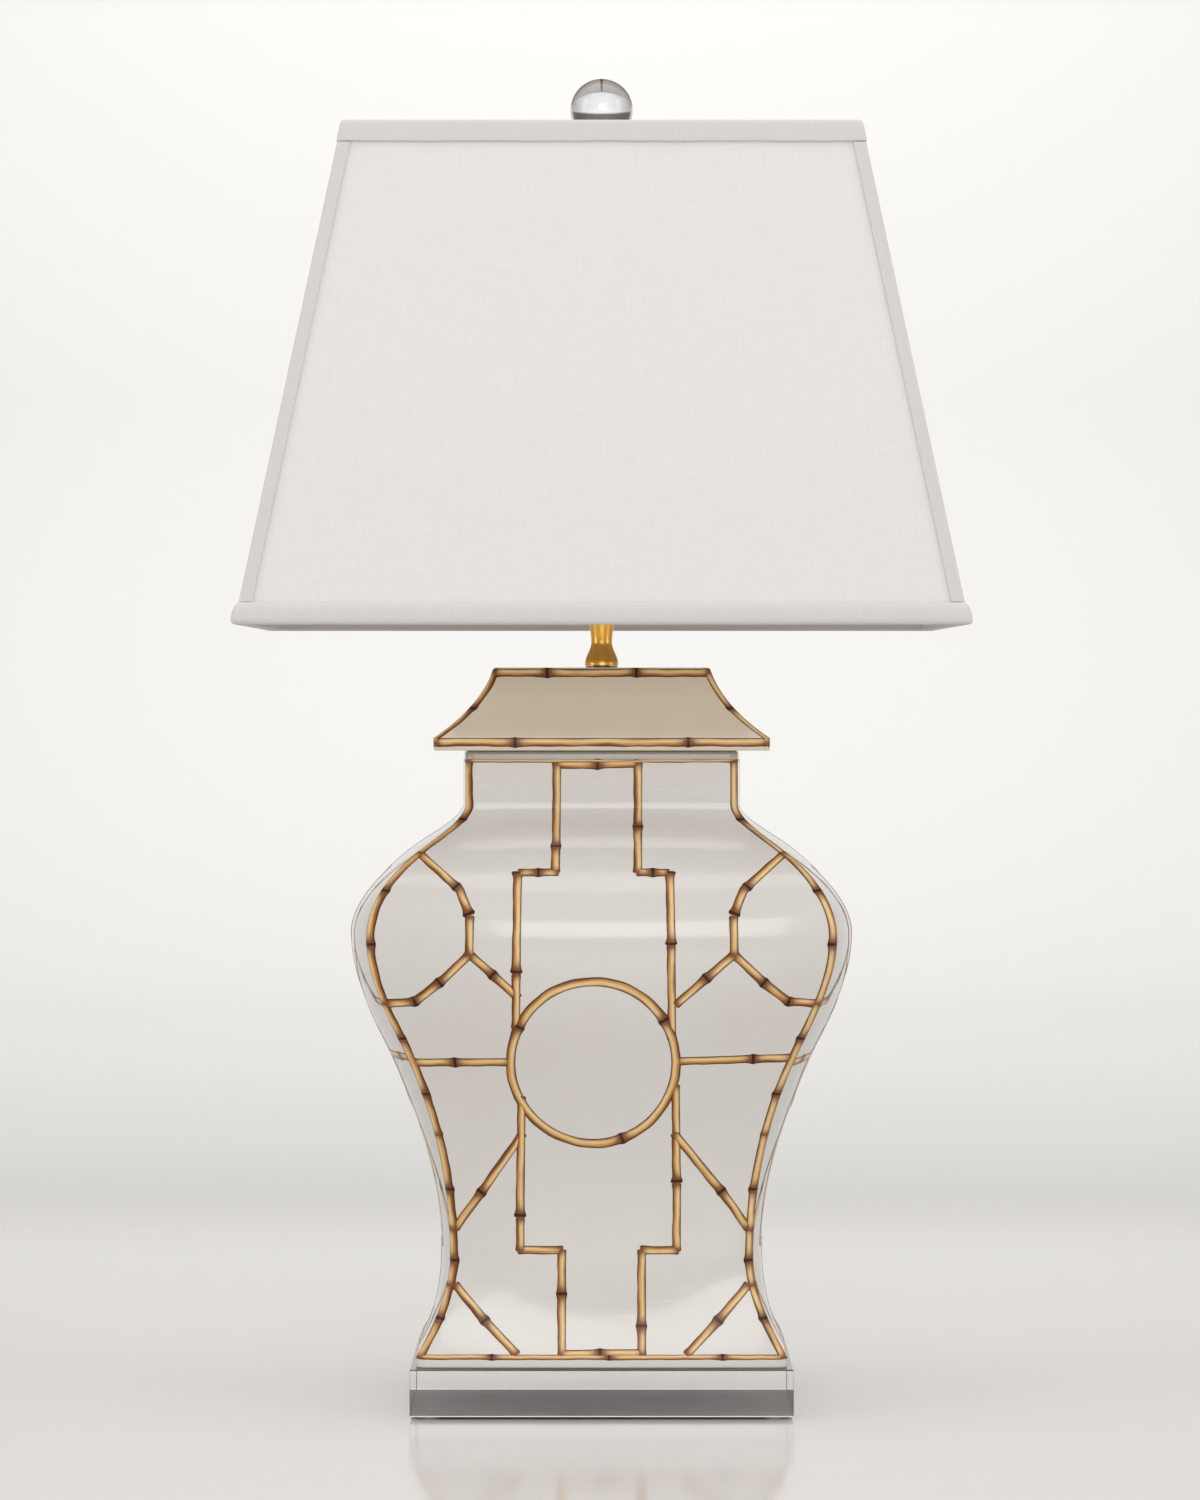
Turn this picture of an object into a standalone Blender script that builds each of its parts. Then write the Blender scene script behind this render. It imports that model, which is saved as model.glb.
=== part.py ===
"""Table lamp whose body is a rectangular ginger jar, on a clear plinth, under a rectangular linen shade.

Metres, +Z up, origin on the table under the middle of the plinth, front facing -Y.
Every sub-part is one object; an empty for each moving body stands on that body's joint axis.
"""

import math

import bmesh
import bpy
from mathutils import Matrix, Vector

# ---------------------------------------------------------------- driving sizes
GAP = 0.0003                    # kept between pieces that rest on or against each other
RUNNING_CLEARANCE = 0.0004      # radial, round anything that turns or slides

PAD_RADIUS = 0.0050
PAD_HEIGHT = 0.0015
PAD_INSET = 0.0120              # from the plinth's edge to a pad's centre

PLINTH_WIDTH = 0.2300
PLINTH_DEPTH = 0.1550
PLINTH_HEIGHT = 0.0285
PLINTH_EDGE = 0.0008            # polished edge

PIPE_RADIUS = 0.0050
PIPE_BORE_RADIUS = 0.0037
PIPE_BELOW_NUT = 0.0020
LEAD_SLOT_WIDTH = 0.0044        # the lead enters the pipe here, inside the jar
LEAD_SLOT_HEIGHT = 0.0200
HOLE_CLEARANCE = 0.0004         # radial, between the pipe and what it passes through

WASHER_RADIUS = 0.0130
WASHER_THICKNESS = 0.0015
LOCK_WASHER_RADIUS = 0.0085
LOCK_WASHER_THICKNESS = 0.0012
NUT_RADIUS = 0.0090             # across the corners, halved
NUT_HEIGHT = 0.0042

# The jar's half widths are at its corners; its sides bow out between them.
JAR_WALL = 0.0045
JAR_FLOOR = 0.0060
FOOT_RECESS_HEIGHT = 0.0120     # hollow foot under the floor, over the plinth, round the nut
JAR_CORNER_RADIUS = 0.0060
JAR_DEPTH_SHARE = 0.66          # the jar's depth over its width
FOOT_BAND_HEIGHT = 0.0060
FOOT_TO_WAIST = 0.0585
WAIST_TO_HIP = 0.1300
HIP_TO_BELLY = 0.0640
BELLY_TO_SHOULDER = 0.0495
SHOULDER_TO_NECK = 0.0295
NECK_LENGTH = 0.0322
FOOT_HALF_WIDTH = 0.1115
WAIST_HALF_WIDTH = 0.0915
HIP_HALF_WIDTH = 0.1205
BELLY_HALF_WIDTH = 0.1404
SHOULDER_HALF_WIDTH = 0.1122
NECK_HALF_WIDTH = 0.0825
FOOT_BOW = 0.0010
WAIST_BOW = 0.0073
HIP_BOW = 0.0150
BELLY_BOW = 0.0138
SHOULDER_BOW = 0.0070
NECK_BOW = 0.0020
FOOT_SLOPE = -0.57              # half width gained per height, where a curve passes a station
HIP_SLOPE = 0.47
SHOULDER_SLOPE = -1.20

CORD_HOLE_RISE = 0.0200         # above the foot band, in the back of the jar
CORD_HOLE_RADIUS = 0.0061
GROMMET_FLANGE_RADIUS = 0.0085
GROMMET_FLANGE_THICKNESS = 0.0014
GROMMET_BORE_RADIUS = 0.0038

LID_WALL = 0.0045
LID_OVERHANG = 0.0186
LID_RIM_HEIGHT = 0.0075
LID_SLOPE_HEIGHT = 0.0425
LID_TOP_HALF_WIDTH = 0.0655
LID_CORNER_RADIUS = 0.0045
LID_CONCAVITY = 0.46            # where the slope's control point stands along its height
FLANGE_DEPTH = 0.0120
FLANGE_WALL = 0.0040
FLANGE_CLEARANCE = 0.0015

CHECK_RING_RADIUS = 0.0098
CHECK_RING_THICKNESS = 0.0008
SPINDLE_HEIGHT = 0.0390         # the turned brass neck under the socket
SPINDLE_BASE_RADIUS = 0.0103
SPINDLE_WAIST_WALL = 0.0010     # left round the pipe's hole at the waist
SPINDLE_WAIST_RISE = 0.0140
SPINDLE_TOP_RADIUS = 0.0098

SADDLE_THICKNESS = 0.0016
SADDLE_MARGIN = 0.0022          # of metal on each side of the pipe's hole
SADDLE_EAR_HEIGHT = 0.0090
SADDLE_BEND_RADIUS = 0.0030
SADDLE_PIN_HEIGHT = 0.0080
HARP_LEG_SPREAD = 0.0350        # from the lamp's axis to each leg
HARP_HALF_WIDTH = 0.0570
HARP_WIRE_RADIUS = 0.0016
HARP_LEG_STRAIGHT = 0.0240
HARP_FLARE_HEIGHT = 0.0750
HARP_CROWN_HEIGHT = 0.1450
FERRULE_RADIUS = 0.0033
FERRULE_LENGTH = 0.0130
FERRULE_LIFT = 0.0120
STUD_COLLAR_RADIUS = 0.0055
STUD_COLLAR_HEIGHT = 0.0036
STUD_RADIUS = 0.0031
STUD_HEIGHT = 0.0115

SOCKET_CAP_HEIGHT = 0.0160
SOCKET_CAP_THROAT_RADIUS = 0.0085
SOCKET_RADIUS = 0.0168
SOCKET_WALL = 0.0006
SOCKET_SHELL_HEIGHT = 0.0420
LINER_WALL = 0.0008
CORE_HEIGHT = 0.0150
CORE_RISE = 0.0020              # above the lower edge of the shell
CONTACT_RADIUS = 0.0030
CONTACT_HEIGHT = 0.0025
SCREW_SHELL_WALL = 0.0005

KNOB_RADIUS = 0.0048
KNOB_LENGTH = 0.0110
KNOB_STANDOFF = 0.0025          # between the socket's shell and the knob
KNOB_SHAFT_RADIUS = 0.0015
KNOB_SHAFT_DEPTH = 0.0070       # inside the shell
KNOB_SHAFT_ENTRY = 0.0050       # into the knob

BULB_CAP_RADIUS = 0.0130
BULB_CAP_HEIGHT = 0.0260
BULB_CAP_WALL = 0.0005
BULB_GLASS_RADIUS = 0.0300
BULB_GLASS_NECK_RADIUS = 0.0120
BULB_GLASS_HEIGHT = 0.0820      # above the cap
BULB_GLASS_WALL = 0.0009
BULB_GLASS_INSERTION = 0.0060   # of the glass in the cap

SPIDER_WASHER_RADIUS = 0.0125
SPIDER_WASHER_THICKNESS = 0.0020
SPIDER_WIRE_RADIUS = 0.0013
SPIDER_RECESS = 0.0152          # from the shade's top down to the washer
SHADE_HEIGHT = 0.3000
SHADE_TOP_WIDTH = 0.3050
SHADE_TOP_DEPTH = 0.2010
SHADE_BOTTOM_WIDTH = 0.4270
SHADE_BOTTOM_DEPTH = 0.2750
PANEL_THICKNESS = 0.0010
FRAME_WIRE_RADIUS = 0.0015
UPRIGHT_WIRE_RADIUS = 0.0012
TAPE_THICKNESS = 0.0008
BOTTOM_TAPE_THICKNESS = 0.0020  # the lower hem is folded over itself
TOP_TAPE_HEIGHT = 0.0130
BOTTOM_TAPE_HEIGHT = 0.0132
CORNER_TAPE_WIDTH = 0.0080
SHADE_CORNER_RADIUS = 0.0012
FRAME_BEND_RADIUS = 0.0045      # of the wire rings at the shade's corners

FINIAL_BALL_RADIUS = 0.01925
FINIAL_SEAT_RADIUS = 0.0062
FINIAL_FOOT_RADIUS = 0.0072
FINIAL_WAIST_RADIUS = 0.0050
FINIAL_BASE_HEIGHT = 0.0124
FINIAL_ROD_RADIUS = 0.0011
FINIAL_ROD_HEIGHT = 0.0080      # inside the ball

# ---------------------------------------------------------------- levels that follow from the sizes
PLINTH_BOTTOM = PAD_HEIGHT + GAP
PLINTH_TOP = PLINTH_BOTTOM + PLINTH_HEIGHT
JAR_BOTTOM = PLINTH_TOP + GAP
FLOOR_BOTTOM = JAR_BOTTOM + FOOT_RECESS_HEIGHT
FLOOR_TOP = FLOOR_BOTTOM + JAR_FLOOR
WASHER_BOTTOM = FLOOR_BOTTOM - GAP - WASHER_THICKNESS
LOCK_WASHER_BOTTOM = WASHER_BOTTOM - GAP - LOCK_WASHER_THICKNESS
NUT_BOTTOM = LOCK_WASHER_BOTTOM - GAP - NUT_HEIGHT
PIPE_BOTTOM = NUT_BOTTOM - PIPE_BELOW_NUT

FOOT_Z = JAR_BOTTOM + FOOT_BAND_HEIGHT
WAIST_Z = FOOT_Z + FOOT_TO_WAIST
HIP_Z = WAIST_Z + WAIST_TO_HIP
BELLY_Z = HIP_Z + HIP_TO_BELLY
SHOULDER_Z = BELLY_Z + BELLY_TO_SHOULDER
NECK_Z = SHOULDER_Z + SHOULDER_TO_NECK
RIM_Z = NECK_Z + NECK_LENGTH

LID_BOTTOM = RIM_Z + GAP
LID_TOP = LID_BOTTOM + LID_RIM_HEIGHT + LID_SLOPE_HEIGHT
CHECK_RING_BOTTOM = LID_TOP + GAP
SPINDLE_BOTTOM = CHECK_RING_BOTTOM + CHECK_RING_THICKNESS + GAP
SPINDLE_TOP = SPINDLE_BOTTOM + SPINDLE_HEIGHT

SADDLE_BOTTOM = SPINDLE_TOP + GAP
SADDLE_TOP = SADDLE_BOTTOM + SADDLE_THICKNESS
EAR_TOP = SADDLE_TOP + SADDLE_EAR_HEIGHT
PIN_TOP = EAR_TOP + SADDLE_PIN_HEIGHT
HARP_BOTTOM = PIN_TOP + GAP
HARP_WIDEST = HARP_BOTTOM + HARP_LEG_STRAIGHT + HARP_FLARE_HEIGHT
HARP_TOP = HARP_WIDEST + HARP_CROWN_HEIGHT
STUD_BOTTOM = HARP_TOP + HARP_WIRE_RADIUS + GAP
COLLAR_TOP = STUD_BOTTOM + STUD_COLLAR_HEIGHT

SOCKET_CAP_BOTTOM = SADDLE_TOP + GAP
SOCKET_CAP_TOP = SOCKET_CAP_BOTTOM + SOCKET_CAP_HEIGHT
SHELL_BOTTOM = SOCKET_CAP_TOP + GAP
SHELL_TOP = SHELL_BOTTOM + SOCKET_SHELL_HEIGHT
PIPE_TOP = SOCKET_CAP_BOTTOM + SOCKET_WALL + GAP + PIPE_BELOW_NUT
CORE_BOTTOM = SHELL_BOTTOM + CORE_RISE
CORE_TOP = CORE_BOTTOM + CORE_HEIGHT
CONTACT_TOP = CORE_TOP + GAP + CONTACT_HEIGHT
BULB_CAP_BOTTOM = CONTACT_TOP + GAP
BULB_CAP_TOP = BULB_CAP_BOTTOM + BULB_CAP_HEIGHT
KNOB_Z = (CORE_BOTTOM + CORE_TOP) / 2

SPIDER_BOTTOM = COLLAR_TOP + GAP
SPIDER_TOP = SPIDER_BOTTOM + SPIDER_WASHER_THICKNESS
SHADE_TOP = SPIDER_BOTTOM + SPIDER_RECESS
SHADE_BOTTOM = SHADE_TOP - SHADE_HEIGHT
PANEL_TOP = SHADE_TOP - TAPE_THICKNESS - GAP
PANEL_BOTTOM = SHADE_BOTTOM + BOTTOM_TAPE_THICKNESS + GAP
TOP_RING_Z = PANEL_TOP - FRAME_WIRE_RADIUS
BOTTOM_RING_Z = PANEL_BOTTOM + FRAME_WIRE_RADIUS
RING_INSET = PANEL_THICKNESS + 2 * GAP + FRAME_WIRE_RADIUS
SPIDER_ARM_Z = TOP_RING_Z - FRAME_WIRE_RADIUS - GAP - SPIDER_WIRE_RADIUS

FINIAL_BOTTOM = SPIDER_TOP + GAP
BALL_Z = FINIAL_BOTTOM + FINIAL_BASE_HEIGHT + FINIAL_BALL_RADIUS

ROUND_STEPS = 28                # segments round a turned piece
SMALL_ROUND_STEPS = 20          # segments round a small one


# ---------------------------------------------------------------- scene and materials
def clear_scene():
    for item in list(bpy.data.objects):
        bpy.data.objects.remove(item, do_unlink=True)


def new_collection(name):
    collection = bpy.data.collections.new(name)
    bpy.context.scene.collection.children.link(collection)
    return collection


clear_scene()
PARTS = new_collection("ginger_jar_lamp")
CUTTERS = new_collection("cutters")


def new_material(name, colour, roughness, metallic=0.0, transmission=0.0):
    material = bpy.data.materials.new(name)
    material.use_nodes = True
    shader = material.node_tree.nodes["Principled BSDF"]
    shader.inputs["Base Color"].default_value = (*colour, 1.0)
    shader.inputs["Roughness"].default_value = roughness
    shader.inputs["Metallic"].default_value = metallic
    shader.inputs["Transmission Weight"].default_value = transmission
    return material


PORCELAIN = new_material("white_porcelain", (0.86, 0.85, 0.83), 0.12)
ACRYLIC = new_material("clear_acrylic", (0.93, 0.95, 0.95), 0.03, transmission=0.9)
CRYSTAL = new_material("crystal", (0.95, 0.96, 0.97), 0.02, transmission=0.9)
BULB_GLASS = new_material("bulb_glass", (0.90, 0.90, 0.88), 0.25, transmission=0.6)
ANTIQUE_BRASS = new_material("antique_brass", (0.50, 0.33, 0.10), 0.30, metallic=1.0)
DARK_BRONZE = new_material("dark_bronze", (0.10, 0.07, 0.04), 0.45, metallic=1.0)
ZINC = new_material("zinc_steel", (0.60, 0.61, 0.62), 0.35, metallic=1.0)
WHITE_WIRE = new_material("white_wire", (0.82, 0.81, 0.78), 0.40)
LINEN = new_material("linen", (0.80, 0.78, 0.75), 0.90)
LINEN_TAPE = new_material("linen_tape", (0.82, 0.80, 0.77), 0.90)
RUBBER = new_material("clear_rubber", (0.75, 0.77, 0.77), 0.50)
GREY_RUBBER = new_material("white_rubber", (0.75, 0.74, 0.71), 0.60)
PHENOLIC = new_material("phenolic", (0.05, 0.03, 0.02), 0.45)
CARDBOARD = new_material("cardboard", (0.55, 0.43, 0.29), 0.90)


# ---------------------------------------------------------------- shape helpers
def add_object(name, data, collection=PARTS):
    item = bpy.data.objects.new(name, data)
    collection.objects.link(item)
    return item


def new_body(name, location=(0, 0, 0), parent=None):
    """Empty that carries a body's pieces and stands on its joint's axis."""
    empty = add_object(name + "_body", None)
    empty.empty_display_size = 0.02
    if parent:
        empty.parent = parent
        empty.location = Vector(location) - parent.matrix_world.translation
    else:
        empty.location = location
    bpy.context.view_layer.update()
    return empty


def finish(item, body, material, at=(0, 0, 0), turn=(0, 0, 0), smooth=True):
    """Put a piece on its body at a place in the lamp's frame, with its material."""
    item.parent = body
    item.location = Vector(at) - body.matrix_world.translation
    item.rotation_euler = turn
    item.data.materials.append(material)
    if smooth and item.type == "MESH":
        item.data.shade_smooth()
        item.data.set_sharp_from_angle(angle=math.radians(35))
    return item


def lofted(name, rings, closed=False, collection=PARTS):
    """Skin over rings of equally many points: capped at both ends, or closed back onto the first ring."""
    count = len(rings[0])
    points = [point for ring in rings for point in ring]
    faces = []
    last = len(rings) if closed else len(rings) - 1
    for level in range(last):
        low = level * count
        high = (level + 1) % len(rings) * count
        for i in range(count):
            j = (i + 1) % count
            faces.append((low + i, low + j, high + j, high + i))
    if not closed:
        top = (len(rings) - 1) * count
        faces.append(tuple(reversed(range(count))))
        faces.append(tuple(top + i for i in range(count)))
    mesh = bpy.data.meshes.new(name)
    mesh.from_pydata(points, [], faces)
    mesh.validate()
    return add_object(name, mesh, collection)


def bowed_rectangle(half_x, half_y, radius, bow_x=0.0, bow_y=0.0, side_steps=1, corner_steps=3):
    """Outline, anticlockwise from the front left: four parabolic sides and four arcs tangent to them."""
    lean_x = math.atan(2 * bow_x / (half_y - radius))
    lean_y = math.atan(2 * bow_y / (half_x - radius))
    span_x = half_y - radius + radius * math.sin(lean_x)
    span_y = half_x - radius + radius * math.sin(lean_y)
    face_x = half_x - radius + radius * math.cos(lean_x)
    face_y = half_y - radius + radius * math.cos(lean_y)
    sweep = math.pi / 2 - lean_x - lean_y

    def arc(centre_x, centre_y, start):
        angles = [start + sweep * step / corner_steps for step in range(corner_steps)]
        return [(centre_x + radius * math.cos(a), centre_y + radius * math.sin(a)) for a in angles]

    shares = [-1 + 2 * step / side_steps for step in range(side_steps)]
    half = [(s * span_y, -(face_y + bow_y * (1 - s * s))) for s in shares]
    half += arc(half_x - radius, radius - half_y, lean_y - math.pi / 2)
    half += [(face_x + bow_x * (1 - s * s), s * span_x) for s in shares]
    half += arc(half_x - radius, half_y - radius, lean_x)
    return half + [(-x, -y) for x, y in half]


def at_height(outline, z):
    return [(x, y, z) for x, y in outline]


def turned(name, outline, steps=ROUND_STEPS, on_axis=False):
    """Turned piece from (radius, height) points that run down the outer side, top to bottom.

    An outline off the axis is closed back to its first point; one on the axis starts and ends there.
    """
    mesh = bpy.data.meshes.new(name)
    edges = [(i, i + 1) for i in range(len(outline) - 1)]
    if not on_axis:
        edges.append((len(outline) - 1, 0))
    mesh.from_pydata([(radius, 0.0, z) for radius, z in outline], edges, [])
    item = add_object(name, mesh)
    screw = item.modifiers.new("turn", "SCREW")
    screw.axis = "Z"
    screw.angle = 2 * math.pi
    screw.steps = steps
    screw.render_steps = steps
    screw.use_merge_vertices = True
    screw.merge_threshold = 0.00001
    screw.use_smooth_shade = True
    return item


def ring_outline(inner, outer, bottom, top):
    return [(outer, top), (outer, bottom), (inner, bottom), (inner, top)]


def wire(name, points, radius, cyclic=False):
    curve = bpy.data.curves.new(name, "CURVE")
    curve.dimensions = "3D"
    curve.bevel_depth = radius
    curve.bevel_resolution = 2
    curve.use_fill_caps = True
    spline = curve.splines.new("POLY")
    spline.points.add(len(points) - 1)
    for target, point in zip(spline.points, points):
        target.co = (*point, 1.0)
    spline.use_cyclic_u = cyclic
    return add_object(name, curve)


def plate(name, outline, thickness):
    """Flat piece of an (x, y) outline, its thickness centred on its own plane."""
    curve = bpy.data.curves.new(name, "CURVE")
    curve.dimensions = "2D"
    curve.fill_mode = "BOTH"
    curve.extrude = thickness / 2
    spline = curve.splines.new("POLY")
    spline.points.add(len(outline) - 1)
    for target, (x, y) in zip(spline.points, outline):
        target.co = (x, y, 0.0, 1.0)
    spline.use_cyclic_u = True
    return add_object(name, curve)


def as_mesh(curve_item):
    """Mesh object in place of a curve object, its caps welded on."""
    bpy.context.view_layer.update()
    evaluated = curve_item.evaluated_get(bpy.context.evaluated_depsgraph_get())
    mesh = bpy.data.meshes.new_from_object(evaluated)
    cage = bmesh.new()
    cage.from_mesh(mesh)
    bmesh.ops.remove_doubles(cage, verts=cage.verts, dist=0.00001)
    cage.to_mesh(mesh)
    cage.free()
    name = curve_item.name
    matrix = curve_item.matrix_world.copy()
    bpy.data.objects.remove(curve_item)
    item = add_object(name, mesh)
    item.matrix_world = matrix
    return item


def rod(name, radius, start, end, sides=SMALL_ROUND_STEPS, collection=CUTTERS):
    """Cylinder from start to end, for a cutter or a straight piece."""
    start, end = Vector(start), Vector(end)
    cage = bmesh.new()
    length = (end - start).length
    bmesh.ops.create_cone(
        cage, cap_ends=True, segments=sides, radius1=radius, radius2=radius, depth=length
    )
    turn = (end - start).to_track_quat("Z", "Y").to_matrix().to_4x4()
    bmesh.ops.transform(cage, matrix=Matrix.Translation((start + end) / 2) @ turn, verts=cage.verts)
    mesh = bpy.data.meshes.new(name)
    cage.to_mesh(mesh)
    cage.free()
    return add_object(name, mesh, collection)


def block(name, low, high, collection=CUTTERS):
    """Box between two corners."""
    low, high = Vector(low), Vector(high)
    cage = bmesh.new()
    bmesh.ops.create_cube(cage, size=1.0)
    scale = Matrix.Diagonal((*(high - low), 1.0))
    bmesh.ops.transform(cage, matrix=Matrix.Translation((low + high) / 2) @ scale, verts=cage.verts)
    mesh = bpy.data.meshes.new(name)
    cage.to_mesh(mesh)
    cage.free()
    return add_object(name, mesh, collection)


def boolean(item, tool, operation):
    """Cut or join item with a tool that stands in the lamp's frame."""
    for owner in tool.users_collection:
        owner.objects.unlink(tool)
    CUTTERS.objects.link(tool)
    tool.hide_render = True
    tool.display_type = "WIRE"
    change = item.modifiers.new(tool.name, "BOOLEAN")
    change.operation = operation
    change.solver = "EXACT"
    change.object = tool
    return item


def smooth_value(stations, height):
    """Height of a smooth curve through (height, value, slope) stations, cubic between each two."""
    for (h0, v0, s0), (h1, v1, s1) in zip(stations, stations[1:]):
        if height <= h1 or h1 == stations[-1][0]:
            span = h1 - h0
            t = (height - h0) / span
            return (
                (1 + 2 * t) * (1 - t) ** 2 * v0
                + t * (1 - t) ** 2 * span * s0
                + t * t * (3 - 2 * t) * v1
                + t * t * (t - 1) * span * s1
            )
    raise ValueError("a curve needs two stations or more")


# ---------------------------------------------------------------- the bodies
BASE = new_body("base")
SWITCH = new_body("switch", (0, 0, KNOB_Z), BASE)
HARP = new_body("harp", (0, 0, HARP_BOTTOM), BASE)
FERRULES = {
    side: new_body("ferrule_" + name, (side * HARP_LEG_SPREAD, 0, PIN_TOP), HARP)
    for side, name in ((-1, "left"), (1, "right"))
}
SHADE = new_body("shade", (0, 0, SPIDER_BOTTOM), HARP)
FINIAL = new_body("finial", (0, 0, FINIAL_BOTTOM), HARP)
BULB = new_body("bulb", (0, 0, BULB_CAP_BOTTOM), BASE)


# ---------------------------------------------------------------- plinth and the clamp under it
def build_plinth():
    half_x, half_y = PLINTH_WIDTH / 2, PLINTH_DEPTH / 2
    plinth = block("acrylic_plinth", (-half_x, -half_y, 0), (half_x, half_y, PLINTH_HEIGHT), PARTS)
    finish(plinth, BASE, ACRYLIC, (0, 0, PLINTH_BOTTOM), smooth=False)
    edge = plinth.modifiers.new("polished_edge", "BEVEL")
    edge.width = PLINTH_EDGE
    edge.segments = 2
    for number, (side_x, side_y) in enumerate(((-1, -1), (1, -1), (1, 1), (-1, 1)), start=1):
        pad = turned(
            f"bumper_pad_{number}",
            [(0, PAD_HEIGHT), (PAD_RADIUS, PAD_HEIGHT), (PAD_RADIUS, 0), (0, 0)],
            SMALL_ROUND_STEPS,
            on_axis=True,
        )
        x = side_x * (half_x - PAD_INSET)
        y = side_y * (half_y - PAD_INSET)
        finish(pad, BASE, RUBBER, (x, y, 0))


def build_clamp():
    """Pipe up through the jar and lid, with the nut and washers that draw them together in the foot."""
    pipe = turned("threaded_pipe", ring_outline(PIPE_BORE_RADIUS, PIPE_RADIUS, PIPE_BOTTOM, PIPE_TOP))
    finish(pipe, BASE, ZINC)
    slot_bottom = FLOOR_TOP + LEAD_SLOT_WIDTH
    half = LEAD_SLOT_WIDTH / 2
    slot_top = slot_bottom + LEAD_SLOT_HEIGHT
    slot = block("lead_slot", (-half, 0, slot_bottom), (half, 2 * PIPE_RADIUS, slot_top))
    boolean(pipe, slot, "DIFFERENCE")
    hole = PIPE_RADIUS + HOLE_CLEARANCE
    washer = turned(
        "base_washer",
        ring_outline(hole, WASHER_RADIUS, WASHER_BOTTOM, WASHER_BOTTOM + WASHER_THICKNESS),
    )
    finish(washer, BASE, ZINC)
    lock_top = LOCK_WASHER_BOTTOM + LOCK_WASHER_THICKNESS
    lock = turned("lock_washer", ring_outline(hole, LOCK_WASHER_RADIUS, LOCK_WASHER_BOTTOM, lock_top))
    finish(lock, BASE, ZINC)
    nut = rod("hex_nut", NUT_RADIUS, (0, 0, NUT_BOTTOM), (0, 0, NUT_BOTTOM + NUT_HEIGHT), 6, PARTS)
    bore = rod("nut_bore", hole, (0, 0, NUT_BOTTOM - NUT_HEIGHT), (0, 0, NUT_BOTTOM + 2 * NUT_HEIGHT))
    boolean(nut, bore, "DIFFERENCE")
    finish(nut, BASE, ZINC, smooth=False)


# ---------------------------------------------------------------- jar
JAR_LEVELS = (FOOT_Z, WAIST_Z, HIP_Z, BELLY_Z, SHOULDER_Z, NECK_Z, RIM_Z)
JAR_WIDTH_CURVE = list(zip(
    JAR_LEVELS,
    (FOOT_HALF_WIDTH, WAIST_HALF_WIDTH, HIP_HALF_WIDTH, BELLY_HALF_WIDTH, SHOULDER_HALF_WIDTH,
     NECK_HALF_WIDTH, NECK_HALF_WIDTH),
    (FOOT_SLOPE, 0, HIP_SLOPE, 0, SHOULDER_SLOPE, 0, 0),
))
JAR_BOW_CURVE = list(zip(
    JAR_LEVELS,
    (FOOT_BOW, WAIST_BOW, HIP_BOW, BELLY_BOW, SHOULDER_BOW, NECK_BOW, NECK_BOW),
    (0, 0, 0, 0, 0, 0, 0),
))
JAR_ROWS = (4, 6, 4, 4, 3, 1)   # rows of faces between each two levels


def jar_half_width(z):
    return smooth_value(JAR_WIDTH_CURVE, max(z, FOOT_Z))


def jar_bow(z):
    return smooth_value(JAR_BOW_CURVE, max(z, FOOT_Z))


def jar_section(z, inset=0.0):
    """Section of the jar, drawn in by an inset measured across the wall, not along the ground."""
    step = 0.0005
    slope = (jar_half_width(z + step) - jar_half_width(z - step)) / (2 * step)
    inset *= math.sqrt(1 + slope * slope)
    half_x = jar_half_width(z)
    half_y = half_x * JAR_DEPTH_SHARE
    radius = max(JAR_CORNER_RADIUS - inset, JAR_CORNER_RADIUS / 4)
    bow = jar_bow(z)
    return bowed_rectangle(half_x - inset, half_y - inset, radius, bow, bow, 6, 3)


def jar_heights():
    heights = [JAR_BOTTOM, FOOT_Z]
    for low, high, rows in zip(JAR_LEVELS, JAR_LEVELS[1:], JAR_ROWS):
        heights += [low + (high - low) * row / rows for row in range(1, rows + 1)]
    return heights


def build_jar():
    """One skin: from the floor's underside down the hollow foot, up the outside and down to the floor."""
    heights = jar_heights()
    foot = [at_height(jar_section(z, JAR_WALL), z) for z in (FLOOR_BOTTOM, JAR_BOTTOM)]
    outside = [at_height(jar_section(z), z) for z in heights]
    inner_heights = [FLOOR_TOP] + [z for z in heights if z > FLOOR_TOP]
    inside = [at_height(jar_section(z, JAR_WALL), z) for z in inner_heights]
    jar = lofted("jar_body", foot + outside + inside[::-1])
    finish(jar, BASE, PORCELAIN)
    bore = rod(
        "jar_floor_bore",
        PIPE_RADIUS + HOLE_CLEARANCE,
        (0, 0, FLOOR_BOTTOM - JAR_FLOOR),
        (0, 0, FLOOR_TOP + JAR_FLOOR),
    )
    boolean(jar, bore, "DIFFERENCE")
    place, outward = cord_hole()
    through = 2 * JAR_WALL * outward
    boolean(jar, rod("cord_hole", CORD_HOLE_RADIUS, place - through, place + through), "DIFFERENCE")


def cord_hole():
    """Middle of the cord hole on the jar's back, and the direction that leaves the wall there."""
    def back(z):
        return jar_half_width(z) * JAR_DEPTH_SHARE + jar_bow(z)

    z = FOOT_Z + CORD_HOLE_RISE
    reach = GROMMET_FLANGE_RADIUS
    slope = (back(z + reach) - back(z - reach)) / (2 * reach)
    return Vector((0, back(z), z)), Vector((0, 1, -slope)).normalized()


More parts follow.
